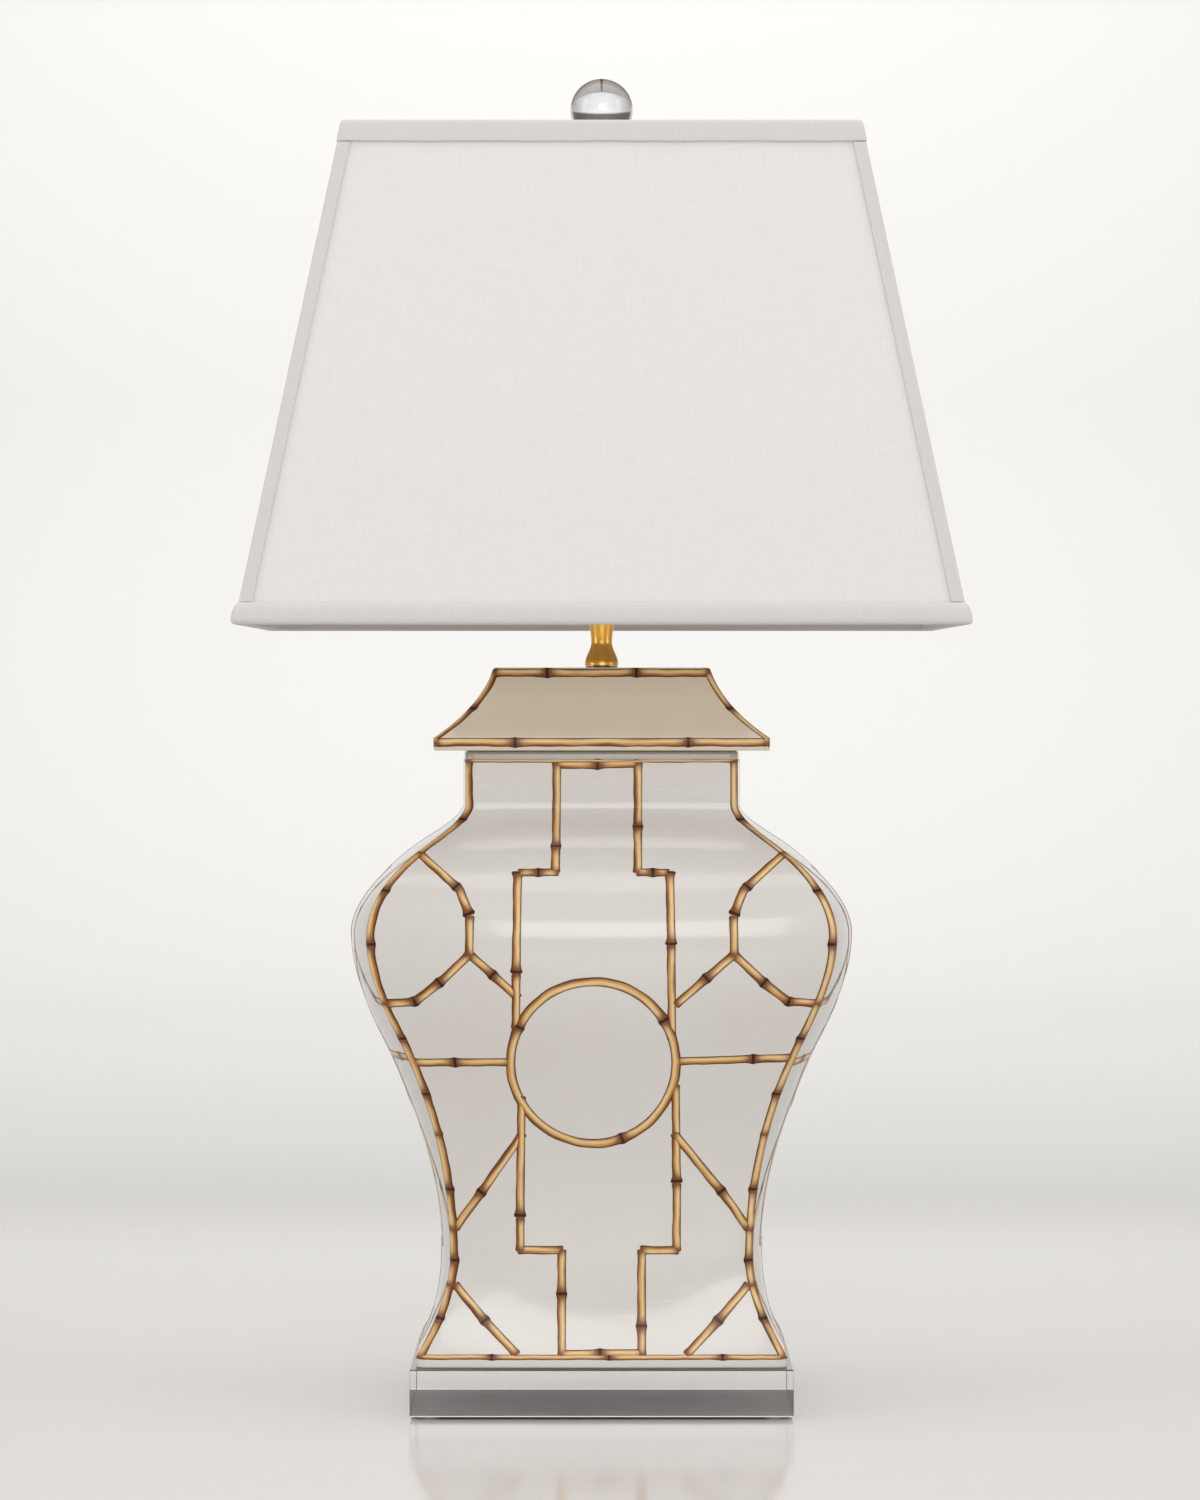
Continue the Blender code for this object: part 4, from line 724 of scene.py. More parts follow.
def bore_cord_hole(jar):
    """Cut the cord hole square to the jar's back, where the grommet sits."""
    low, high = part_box("cord_grommet")
    middle = (np.array(low) + np.array(high)) / 2
    s = settings().jar
    z = middle[2]
    step = mm(8.5)

    def back(height):
        return float(jar_half_width(height) * s.depth_share + jar_bow(height))

    lean = math.atan2(-(back(z + step) - back(z - step)), 2 * step)
    mesh = bpy.data.meshes.new("cord_bore")
    radius, reach = 0.0061, 0.015
    profile = [(radius, -reach), (radius, reach)]
    points, faces = lathe(profile, 48, closed=False)
    flat = points.reshape(-1, 3)
    tilt = math.pi / 2 - lean
    y = flat[:, 2] * math.sin(tilt) + flat[:, 1] * math.cos(tilt)
    height = flat[:, 2] * math.cos(tilt) - flat[:, 1] * math.sin(tilt)
    placed = np.stack([flat[:, 0], y + middle[1], height + z], axis=-1)
    caps = [list(range(47, -1, -1)), list(range(48, 96))]
    mesh.from_pydata(placed.tolist(), [], faces.tolist() + caps)
    cutter = bpy.data.objects.new("cord_bore", mesh)
    bpy.context.scene.collection.objects.link(cutter)
    change = jar.modifiers.new("cord_bore", "BOOLEAN")
    change.operation = "DIFFERENCE"
    change.object = cutter
    bpy.context.view_layer.update()
    cut = bpy.data.meshes.new_from_object(jar.evaluated_get(bpy.context.evaluated_depsgraph_get()))
    jar.modifiers.clear()
    jar.data = cut
    bpy.data.objects.remove(cutter)


# ---------------------------------------------------------------- lid
def lid_slope(t):
    """Half width and rise of the concave slope: a quadratic curve pulled in and down."""
    j, s = settings().jar, settings().lid
    low_x = j.half_widths[-1] + s.overhang
    bend_x = s.top_half_width + (low_x - s.top_half_width) * 0.20
    x = (1 - t) ** 2 * low_x + 2 * t * (1 - t) * bend_x + t * t * s.top_half_width
    z = 2 * t * (1 - t) * s.slope_height * 0.46 + t * t * s.slope_height
    return x, z


def lid_profile():
    """Half width and height from the lid's lower edge up the rim band and the slope to the top."""
    s = settings().lid
    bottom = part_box("jar_lid")[1][2] - s.slope_height - s.rim_height
    x, z = lid_slope(np.linspace(0, 1, 60))
    band = np.linspace(0, s.rim_height, 8)[:-1]
    half = np.concatenate([np.full(len(band), x[0]), x])
    return half, bottom + np.concatenate([band, z + s.rim_height])


class LAMP_OT_lid(bpy.types.Operator):
    """Lid: sections follow an upright rim band and a concave quadratic slope to a flat top with a hole,
    then the inside down to the locating flange"""

    bl_idname = "lamp.lid"
    bl_label = "Lid"

    def execute(self, context):
        j, s = settings().jar, settings().lid
        half, height = lid_profile()
        low, high = height[0], height[-1]
        neck = j.half_widths[-1]
        reach = j.wall + s.flange_clearance
        edge = 0.0012
        turn = np.linspace(0, np.pi / 2, 5)

        def rows_of(half_x, half_y, radius, z):
            return ring_rows(half_x, half_y, radius, 0.0, 0.0, z, (24, 16), 8)

        def band(half_x, inset, z):
            radius = np.maximum(s.corner_radius - inset, s.corner_radius / 4)
            return rows_of(half_x - inset, half_x * j.depth_share - inset, radius, z)

        def flange(wall, z):
            inset = reach + wall
            return rows_of(neck - inset, neck * j.depth_share - inset, j.corner_radius / 4, z)

        inner = half < neck
        inner_z = height[inner] - s.wall
        keep = inner_z < high - s.wall - 0.0005
        inside = band(half[inner][keep], s.wall, inner_z[keep])
        ceiling = band(np.full(3, half[-1]), s.wall, np.full(3, high - s.wall))
        top = band(
            np.full(len(turn) + 3, half[-1]),
            np.concatenate([edge * (1 - np.cos(turn)), [edge * 1.6] * 3]),
            np.concatenate([high - edge + edge * np.sin(turn), [high] * 3]),
        )
        foot = band(np.full(5, half[0]), edge / 2 * (1 - np.sin(turn)), low + edge / 2 * (1 - np.cos(turn)))
        body = (height > low + edge / 2) & (height < high - edge)
        outside = band(half[body], 0.0, height[body])
        fillet = low + s.wall
        drop = low - s.flange_depth
        rows = np.concatenate(
            [
                toward_circle(ceiling, (1.0, 0.6, 0.0), j.hole_radius),
                inside[::-1],
                flange(s.flange_wall, np.array([fillet, drop + 0.001])),
                flange(s.flange_wall / 2, np.array([drop])),
                flange(0.0, np.array([drop + 0.001, low])),
                foot,
                outside,
                toward_circle(top, [0.0] * (len(turn) + 1) + [0.6, 1.0], j.hole_radius),
            ]
        )
        faces = grid_faces(*rows.shape[:2], True, True)
        # The lid takes its glaze painted darker and warmer as shade from the lampshade above.
        piece("porcelain_lid", rows, faces, "lid_glaze", "base", ("jar_lid",))
        return {"FINISHED"}


# ---------------------------------------------------------------- painted trellis
def face_point(half_x, half_y, bow, radius, p):
    """Point on the front of a section: p runs along the bowed side and on round the corner's arc."""
    flat_x, flat_y = half_x - radius, half_y - radius
    lean = np.arctan(2 * bow / flat_x)
    span = flat_x + radius * np.sin(lean)
    over = np.maximum(np.abs(p) - span, 0.0)
    share = np.clip(p / span, -1, 1)
    angle = lean + over / radius
    on_arc = over > 0
    side = np.sign(p)
    x = np.where(on_arc, side * (flat_x + radius * np.sin(angle)), p)
    y = np.where(
        on_arc,
        -(flat_y + radius * np.cos(angle)),
        -(flat_y + radius * np.cos(lean) + bow * (1 - share**2)),
    )
    return x, y


def turn_face(face, x, y, z):
    """Turn a front point to another face of the jar."""
    quarter = FACES.index(face)
    c, s = ((1, 0), (0, 1), (-1, 0), (0, -1))[quarter]
    return np.stack([x * c - y * s, x * s + y * c, z], axis=-1)


def jar_face(face):
    """Surface of one face of the jar: (p, z) to a point."""
    s = settings().jar

    def surface(p, z):
        half = jar_half_width(z)
        width, depth = half, half * s.depth_share
        if face in ("left", "right"):
            width, depth = depth, width
        x, y = face_point(width, depth, jar_bow(z), s.corner_radius, p)
        return turn_face(face, x, y, z)

    return surface


def jar_corner(face, z, side):
    """p of the middle of the corner's arc beside a face, at heights z."""
    s = settings().jar
    half = jar_half_width(z)
    width, depth = half, half * s.depth_share
    if face in ("left", "right"):
        width, depth = depth, width
    bow = jar_bow(z)
    radius = s.corner_radius
    lean_y = np.arctan(2 * bow / (width - radius))
    lean_x = np.arctan(2 * bow / (depth - radius))
    span = width - radius + radius * np.sin(lean_y)
    return side * (span + radius * (np.pi / 2 - lean_x - lean_y) / 2)


def lid_face(face):
    """Surface of one face of the lid: p along it, q up its profile's length."""
    s, j = settings().lid, settings().jar
    half, height = lid_profile()
    run = np.concatenate([[0], np.cumsum(np.hypot(np.diff(half), np.diff(height)))])

    def surface(p, q):
        width, z = np.interp(q, run, half), np.interp(q, run, height)
        depth = width * j.depth_share
        if face in ("left", "right"):
            width, depth = depth, width
        x, y = face_point(width, depth, 0.0, s.corner_radius, p)
        return turn_face(face, x, y, z)

    def corner(q, side):
        width = np.interp(q, run, half)
        if face in ("left", "right"):
            width = width * j.depth_share
        radius = s.corner_radius
        return side * (width - radius + radius * np.pi / 4)

    return surface, corner, run[-1]


def resample(path, step):
    """Points a step apart along a path of straight runs, corners kept sharp by their closeness."""
    path = np.asarray(path, dtype=float)
    run = np.concatenate([[0], np.cumsum(np.linalg.norm(np.diff(path, axis=0), axis=1))])
    count = max(4, int(round(run[-1] / step)) + 1)
    at = np.linspace(0, run[-1], count)
    return np.stack([np.interp(at, run, path[:, k]) for k in range(2)], axis=-1)


def painted_band(surface, path, width, nodes, seed, closed=False, relief=None):
    """Thin domed band along a path on a surface.

    Offsets across it are turned into surface parameters through the surface's own metric, so its
    width holds on slopes and round corners. It swells at its nodes and its edges waver slightly.
    """
    s = settings().trellis
    relief = s.relief if relief is None else relief
    p, q = path[:, 0][:, None], path[:, 1][:, None]
    step = 1e-5

    def frame_at(p, q):
        along_p = (surface(p + step, q) - surface(p - step, q)) / (2 * step)
        along_q = (surface(p, q + step) - surface(p, q - step)) / (2 * step)
        normal = np.cross(along_p, along_q)
        return along_p, along_q, normal / np.linalg.norm(normal, axis=-1, keepdims=True)

    centre = surface(p, q)
    along_p, along_q, normal = frame_at(p, q)
    line = centre[:, 0]
    if closed:
        tangent = np.roll(line, -1, axis=0) - np.roll(line, 1, axis=0)
        gaps = np.linalg.norm(np.roll(line, -1, axis=0) - line, axis=1)
        run = np.concatenate([[0], np.cumsum(gaps[:-1])])
    else:
        tangent = np.gradient(line, axis=0)
        run = np.concatenate([[0], np.cumsum(np.linalg.norm(np.diff(line, axis=0), axis=1))])
    tangent /= np.linalg.norm(tangent, axis=-1, keepdims=True)
    total = run[-1]
    side = np.cross(tangent[:, None], normal)

    def dot(a, b):
        return (a * b).sum(axis=-1)

    e, f, g = dot(along_p, along_p), dot(along_p, along_q), dot(along_q, along_q)
    det = e * g - f * f
    bp, bq = dot(side, along_p), dot(side, along_q)
    dp, dq = (g * bp - f * bq) / det, (e * bq - f * bp) / det
    stations = np.asarray([share * total for share in nodes], dtype=float)
    away = np.abs(run[:, None] - stations[None, :]) if len(stations) else np.full((len(run), 1), 1.0)
    if closed:
        away = np.minimum(away, total - away)
    near = away.min(axis=1)
    waves = ((180.0, 1.7), (410.0, 2.9), (95.0, 0.6))
    waver = sum(np.sin(run * freq + seed * phase) for freq, phase in waves) / len(waves)
    swell = 0.20 * np.exp(-((near / mm(2.0)) ** 2)) + 0.10 * np.exp(-near / mm(6.0))
    half = width / 2 * (0.91 + swell + 0.05 * waver)
    burn = 0.95 * np.exp(-((near / mm(0.95)) ** 2)) + 0.62 * np.exp(-near / mm(5.0))
    if not closed:
        end = np.minimum(run, total - run)
        half *= (1 + 0.13 * np.exp(-((end / mm(3.0)) ** 2))) * np.clip(0.80 + end / mm(2.0), 0, 1)
        burn = np.maximum(burn, 0.60 * np.exp(-end / mm(3.5)))
    burn = np.clip(burn, 0, 1)
    across = np.sin(np.linspace(-np.pi / 2, np.pi / 2, 9))[None, :]
    offset = half[:, None] * across + (mm(0.18) * waver)[:, None]
    pp, qq = p + dp * offset, q + dq * offset
    _, _, out = frame_at(pp, qq)
    skin = surface(pp, qq)
    lift = mm(0.03) + mm(0.012) * (seed % 7)
    top = skin + out * (lift + relief * (1 - across**2))[..., None]
    under = skin[:, ::-1] - out[:, ::-1] * mm(0.25)
    points = np.concatenate([top, under], axis=1)
    rows, columns = points.shape[:2]
    faces = grid_faces(rows, columns, closed, True)
    caps = [] if closed else [list(range(columns))[::-1], list(range((rows - 1) * columns, rows * columns))]
    spread = np.concatenate([across, across[:, ::-1]], axis=1)
    return {
        "points": points.reshape(-1, 3),
        "faces": faces,
        "caps": caps,
        "along": np.repeat(run + seed * 0.37, columns),
        "across": np.broadcast_to(spread, (rows, columns)).ravel(),
        "burn": np.repeat(burn, columns),
    }


def join_bands(name, bands):
    """One piece from bands that lie over each other."""
    start = np.cumsum([0] + [len(band["points"]) for band in bands])
    faces = np.concatenate([band["faces"] + offset for band, offset in zip(bands, start)])
    caps = [[i + offset for i in cap] for band, offset in zip(bands, start) for cap in band["caps"]]
    columns = {key: np.concatenate([band[key] for band in bands]) for key in ("along", "across", "burn")}
    points = np.concatenate([band["points"] for band in bands])
    return piece(
        name, points, faces, "bamboo", "base", attributes=columns, caps=caps, sharp=60.0
    )


def trellis_sticks():
    """Sticks of the front: their ends in millimetres from the lamp's axis and the table, and their
    nodes by share of their length."""
    left_leaf = [(-109, 339), (-84.5, 318), (-78.2, 303), (-78.7, 279)]
    sticks = []

    def stick(*points, nodes=()):
        sticks.append((points, nodes))

    frames = (
        (-1, -27.0, -50.0, -49.0, -24.0, 0.74, 269.0, 235.5, 194.5, 120.0, 0.34),
        (1, 22.0, 40.5, 45.0, 24.0, 0.53, 286.0, 229.0, 201.5, 141.0, 0.64),
    )
    for sizes in frames:
        side, upper, outer_top, outer_low, inner_low, knot = sizes[:6]
        joint, above, below, low_joint, low_knot = sizes[6:]
        stick((upper, 393.5), (upper - 0.5, 328), nodes=(knot,))
        stick((upper - side * 1.5, 328.5), (outer_top, 328), nodes=(0.5,))
        stick((outer_top, 329), (outer_top + side * 0.6, joint), nodes=(0.02, 0.985))
        stick((outer_top + side * 0.6, joint), (outer_top + side * 1.2, above), nodes=())
        stick((outer_low - side, below), (outer_low, low_joint), nodes=(0.98,))
        stick((outer_low, low_joint), (outer_low, 99.5), nodes=())
        stick((outer_low + side * 1.5, 100.5), (inner_low - side, 100.5), nodes=())
        stick((inner_low, 101), (inner_low, 38), nodes=(low_knot + 0.08,))
        stick((outer_low - side * 2, 172), (side * 71, 137), (side * 88.5, 112.5), nodes=(0.62,))
        stick((side * 88.5, 79.5), (side * 68.5, 56.5), (side * 50.5, 38.5), nodes=(0.5,))
    stick((-28, 392), (23, 392.5), nodes=(0.5,))
    stick((-25.5, 39), (25.5, 39.5), nodes=(0.48,))
    stick((-113, 214), (-54, 215.2), nodes=(0.43,))
    stick((44, 215.8), (114, 217), nodes=(0.66,))
    for side in (-1, 1):
        leaf = [(side * -x, z) for x, z in left_leaf]
        stick(*leaf[:3], nodes=(0.62, 0.97))
        stick(*leaf[2:], nodes=())
        meet = -49.0 if side < 0 else 43.5
        low_leaf = ((78.7, 280), (96, 263.5), (111, 251.5), (128.5, 250))
        stick(*((side * x, z) for x, z in low_leaf), nodes=(0.40, 0.72))
        stick((side * 78.2, 280), (side * 64, 267.5), (meet, 254 if side < 0 else 250), nodes=(0.46,))
    return sticks


def face_bands(face):
    """Bands of the trellis on one face of the jar."""
    s = settings().trellis
    jar = settings().jar
    surface = jar_face(face)
    share = 1.0 if face in ("front", "back") else 0.62
    bands = []
    for number, (points, nodes) in enumerate(trellis_sticks()):
        path = []
        for x, z in points:
            x, z = mm(x), mm(z)
            front_edge = float(abs(jar_corner("front", np.array(z), 1.0)))
            own_edge = float(abs(jar_corner(face, np.array(z), 1.0)))
            reach = abs(x) / front_edge
            if share == 1.0:
                scaled = x if reach < 0.9 else x / abs(x) * min(own_edge, abs(x))
            else:
                ease = np.clip((reach - 0.45) / 0.5, 0, 1)
                scaled = x * share * (1 - ease) + np.sign(x) * reach * own_edge * ease
            path.append((scaled, z))
        bands.append(painted_band(surface, resample(path, s.step), s.stick_width, nodes, number + 1))
    middle = (mm(-5) * share, mm(215))
    radius = s.ring_radius * (1.0 if share == 1.0 else 0.66)
    angle = np.linspace(0, 2 * np.pi, 280, endpoint=False)
    circle = np.stack([middle[0] + radius * np.cos(angle), middle[1] + radius * np.sin(angle)], axis=-1)
    knots = (0.09, 0.43, 0.81)
    bands.append(painted_band(surface, circle, s.ring_width, knots, 5, closed=True, relief=s.relief * 1.3))
    foot, rim = jar.levels[0] + mm(0.6), jar.levels[-1] - mm(6.2)
    for z, wide, nodes, seed in ((foot, 0.62, (0.2, 0.52, 0.83), 3), (rim, 0.35, (), 6)):
        reach = float(jar_corner(face, np.array(z), 1.0))
        path = resample([(-reach, z), (reach, z)], s.step)
        bands.append(painted_band(surface, path, s.stick_width * wide, nodes, seed))
    return bands


def corner_bands(face):
    """Upright sticks along the corner at a face's right."""
    s = settings().trellis
    jar = settings().jar
    surface = jar_face(face)
    cuts = (37.0, 79.0, 112.0, 170.0, 250.0, 339.0, 394.0)
    knots = ((0.55,), (0.45,), (0.42,), (0.30, 0.72), (0.36, 0.68), (0.50,))
    bands = []
    for number, (low, high, nodes) in enumerate(zip(cuts, cuts[1:], knots)):
        end = min(mm(high) + mm(1), jar.levels[-1] - mm(5))
        z = np.linspace(mm(low) - mm(1), end, int((high - low) * 1.2) + 6)
        path = np.stack([jar_corner(face, z, 1.0), z], axis=-1)
        width, relief = s.stick_width * 1.35, s.relief * 1.2
        bands.append(painted_band(surface, path, width, nodes, number + 2, relief=relief))
    return bands


class LAMP_OT_trellis(bpy.types.Operator):
    """Painted bamboo: thin domed bands that follow each face and corner of the jar"""

    bl_idname = "lamp.trellis"
    bl_label = "Jar trellis"

    def execute(self, context):
        for face in FACES:
            join_bands(f"trellis_{face}", face_bands(face) + corner_bands(face))
        return {"FINISHED"}


class LAMP_OT_lid_trellis(bpy.types.Operator):
    """Painted bamboo on the lid: bars along its lower and upper edges and up its corners"""

    bl_idname = "lamp.lid_trellis"
    bl_label = "Lid trellis"

    def execute(self, context):
        s = settings().trellis
        bands = []
        for face in FACES:
            surface, corner, top = lid_face(face)
            for q, knots, seed in ((mm(5.0), (0.24, 0.76), 4), (top - mm(3.4), (0.25, 0.66), 5)):
                reach = float(corner(np.array(q), 1.0))
                path = resample([(-reach, q), (reach, q)], s.step)
                bands.append(painted_band(surface, path, s.stick_width, knots, seed))
            q = np.linspace(mm(3.0), top - mm(1.5), 80)
            path = np.stack([corner(q, 1.0), q], axis=-1)
            bands.append(painted_band(surface, path, s.stick_width * 1.25, (0.55,), 6))
        join_bands("trellis_lid", bands)
        return {"FINISHED"}


# ---------------------------------------------------------------- shade
def shade_half(z):
    """Half width and half depth of the linen's outside at heights z."""
    s = settings().shade
    low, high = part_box("bottom_tape")[0][2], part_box("top_tape")[1][2]
    t = (np.asarray(z, dtype=float) - low) / (high - low)
    return tuple((s.bottom[k] + (s.top[k] - s.bottom[k]) * t) / 2 for k in range(2))


def shade_levels():
    low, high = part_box("bottom_tape")[0][2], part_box("top_tape")[1][2]
    s = settings().shade
    return low, high, low + s.hem + GAP, high - s.tape - GAP


class LAMP_OT_panels(bpy.types.Operator):
    """Linen panels: flat trapezoids with a faint fullness between their stiff edges"""

    bl_idname = "lamp.panels"
    bl_label = "Shade panels"

    def execute(self, context):
        s = settings().shade
        _, _, low, high = shade_levels()
        rows, columns = 64, 72
        v = np.linspace(0, 1, rows)[:, None]
        u = np.linspace(-1, 1, columns)[None, :]
        z = low + (high - low) * v
        half_x, half_y = shade_half(z)
        for face in FACES:
            wide, deep = (half_x, half_y) if face in ("front", "back") else (half_y - s.panel - GAP, half_x)
            lean = math.atan2(float(deep[0, 0] - deep[-1, 0]), float(high - low))
            x = u * wide
            full = mm(0.35) * (1 - u**2) * np.sin(np.pi * v)
            wave = mm(0.10) * np.sin(x * 61 + 1.3 * FACES.index(face)) * np.sin(z * 47) * (1 - u**2)
            skins = []
            for out in (full + wave, -s.panel):
                y = -(deep + out / math.cos(lean))
                skins.append(turn_face(face, *np.broadcast_arrays(x, y + 0 * x, z + 0 * x)))
            points = np.concatenate([skins[0].reshape(-1, 3), skins[1].reshape(-1, 3)])
            outer = grid_faces(rows, columns)
            count = rows * columns
            inner = outer[:, ::-1] + count
            ring = np.concatenate(
                [
                    np.arange(columns),
                    np.arange(1, rows) * columns + columns - 1,
                    (rows - 1) * columns + np.arange(columns - 2, -1, -1),
                    np.arange(rows - 2, 0, -1) * columns,
                ]
            )
            after = np.roll(ring, -1)
            rim = np.stack([after, ring, ring + count, after + count], axis=-1)
            slant = float(high - low) / math.cos(lean)
            flat_uv = np.stack(np.broadcast_arrays(x, v * slant), axis=-1).reshape(-1, 2)
            panel = piece(
                f"linen_{face}",
                points,
                np.concatenate([outer, inner, rim]),
                "linen",
                "shade",
                (f"linen_panel_{face}",),
                uv=np.concatenate([flat_uv, flat_uv]),
            )
            low_width, high_width = float(2 * wide[0, 0]), float(2 * wide[-1, 0])
        return {"FINISHED"}


def tape_ring(name, outline, node, radius, fold):
    """Folded tape round the shade: an outline of (offset from the linen, height) carried round it.

    It stands out a little more at the corners, where its ends overlap, and its free edge wavers.
    """
    outline = np.asarray(outline)
    offset, z = outline[:, 0], outline[:, 1]
    half_x, half_y = shade_half(z)
    corner = radius + np.maximum(offset, 0) * 0.8
    rows = ring_rows(half_x + offset, half_y + offset, corner, 0.0, 0.0, z, (90, 60), 8)
    columns = rows.shape[1]
    run = np.concatenate([[0], np.cumsum(np.linalg.norm(np.diff(rows[0], axis=0), axis=1))])
    girth = np.concatenate([[0], np.cumsum(np.hypot(np.diff(offset), np.diff(z)))])
    outer = np.clip(offset / offset.max(), 0, 1)[:, None]
    to_corner = np.hypot(np.abs(rows[..., 0]) - half_x[:, None], np.abs(rows[..., 1]) - half_y[:, None])
    swell = 1 + 0.0030 * outer * np.exp(-((to_corner / mm(9)) ** 2))
    rows[..., :2] *= swell[..., None]
    free = np.clip(np.abs(z - fold) / np.abs(z - fold).max(), 0, 1)[:, None] * outer
    waver = mm(0.16) * np.sin(run * 83 + 1) + mm(0.10) * np.sin(run * 211)
    rows[..., 2] += free * waver[None, :] * np.exp(-((to_corner.min() / mm(9)) ** 2))
    faces = grid_faces(len(outline), columns, True, True)
    uv = np.stack(np.broadcast_arrays(run[None, :], girth[:, None]), axis=-1)
    return piece(name, rows, faces, "tape", "shade", (node,), uv=uv, sharp=50.0)


class LAMP_OT_tapes(bpy.types.Operator):
    """Shade tapes: folded bands carried round the top and bottom, and folded strips up the corners"""

    bl_idname = "lamp.tapes"
    bl_label = "Shade tapes"

    def execute(self, context):
        s = settings().shade
        low, high, _, _ = shade_levels()
        inner = -(s.ring_inset + s.ring_wire + 2 * GAP)
        ring_top = high - s.tape - GAP - s.ring_wire
        ring_low = low + s.hem + GAP + s.ring_wire
        top_edge, low_edge = high - s.tape_height, low + s.hem_height
        out = GAP + s.top_roll
        top = rounded(
            [
                (GAP, top_edge),
                (out - mm(0.2), top_edge),
                (out, top_edge + mm(1.6)),
                (out, high - mm(1.6)),
                (out - mm(0.7), high),
                (inner - s.tape, high),
                (inner - s.tape, ring_top),
                (inner, ring_top),
                (inner, high - s.tape),
                (GAP, high - s.tape),
            ],
            mm(0.9),
        )
        tape_ring("top_tape_band", top, "top_tape", mm(1.0), high)
        out = GAP + s.hem_roll
        rise = s.hem_height
        bottom = rounded(
            [
                (GAP, low_edge),
                (GAP, low + s.hem),
                (inner, low + s.hem),
                (inner, ring_low),
                (inner - s.tape, ring_low),
                (inner - s.tape, low),
                (out * 0.45, low),
                (out * 0.92, low + rise * 0.14),
                (out, low + rise * 0.42),
                (out * 0.92, low + rise * 0.76),
                (out * 0.50, low_edge),
            ],
            mm(2.2),
        )
        tape_ring("bottom_tape_band", bottom, "bottom_tape", mm(1.0), low)
        for side_y, end in ((-1, "front"), (1, "back")):
            for side_x, side in ((-1, "left"), (1, "right")):
                self.corner(side_x, side_y, f"{end}_{side}", low_edge + GAP, top_edge - GAP)
        return {"FINISHED"}

    def corner(self, side_x, side_y, name, low, high):
        """Strip folded round one slanted corner: an L with a round fold, carried up the corner."""
        s = settings().shade
        steps = 6
        turn = np.linspace(0, np.pi / 2, steps)
        outer, fold = s.corner_roll + GAP, s.corner_roll * 0.9
        arc = np.stack([outer - fold + fold * np.sin(turn), outer - fold + fold * np.cos(turn)], axis=-1)
        far = outer - s.corner_tape
        thin, edge = outer * 0.7, far + mm(0.6)
        start = [(far, GAP), (far, thin), (edge, outer)]
        end = [(outer, edge), (thin, far), (GAP, far), (GAP, GAP)]
        section = np.concatenate([start, arc, end])
        rows = 90
        z = np.linspace(low, high, rows)[:, None]
        half_x, half_y = shade_half(z)
        points = np.stack(
            [
                side_x * (half_x + section[None, :, 0]),
                side_y * (half_y + section[None, :, 1]),
                np.broadcast_to(z, (rows, len(section))),
            ],
            axis=-1,
        )
        faces = grid_faces(rows, len(section), False, True)
        caps = [list(range(len(section)))[::-1], list(range((rows - 1) * len(section), rows * len(section)))]
        if side_x * side_y < 0:
            faces = faces[:, ::-1]
            caps = [cap[::-1] for cap in caps]
        run = np.concatenate([[0], np.cumsum(np.linalg.norm(np.diff(section, axis=0), axis=1))])
        uv = np.stack(np.broadcast_arrays(run[None, :], z), axis=-1)
        piece(
            f"corner_band_{name}",
            points,
            faces,
            "tape",
            "shade",
            (f"corner_tape_{name}",),
            uv=uv,
            caps=caps,
        )


# ---------------------------------------------------------------- metal, glass and crystal
def tube(name, route, radius, finish, body, replaces, sides=20):
    """Round wire along a route in the plane of the harp: circles square to the route, closed by caps."""
    route = np.asarray(route, dtype=float)
    tangent = np.gradient(route, axis=0)
    tangent /= np.linalg.norm(tangent, axis=1, keepdims=True)
    back = np.array((0.0, 1.0, 0.0))
    across = np.cross(tangent, back)
    angle = np.linspace(0, 2 * np.pi, sides, endpoint=False)[None, :, None]
    ring = across[:, None] * np.cos(angle) + back * np.sin(angle)
    points = route[:, None] + radius * ring
    faces = grid_faces(len(route), sides, False, True)[:, ::-1]
    caps = [list(range(sides)), list(range((len(route) - 1) * sides, len(route) * sides))[::-1]]
    return piece(name, points, faces, finish, body, replaces, caps=caps)


class LAMP_OT_neck(bpy.types.Operator):
    """Turned brass neck: a foot bead, a cubic waist and a flare, round the pipe"""

    bl_idname = "lamp.neck"
    bl_label = "Brass neck"

    def execute(self, context):
        low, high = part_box("brass_neck")
        bottom, top = low[2], high[2]
        bore = settings().jar.hole_radius
        z = np.linspace(bottom + mm(2.0), top - mm(0.4), 60)
        radius = hermite(
            [bottom + mm(2.0), bottom + mm(14.0), top],
            [mm(10.25), bore + mm(1.0), mm(9.8)],
            [-0.1, 0.0, 0.05],
            z,
        )
        foot = [(mm(9.9), bottom), (mm(10.25), bottom + mm(0.3)), (mm(10.3), bottom + mm(1.2))]
        outline = [*foot, *zip(radius, z), (mm(9.5), top), (bore, top), (bore, bottom)]
        turned_piece("turned_neck", outline, "brass", "base", ("brass_neck",))
        return {"FINISHED"}


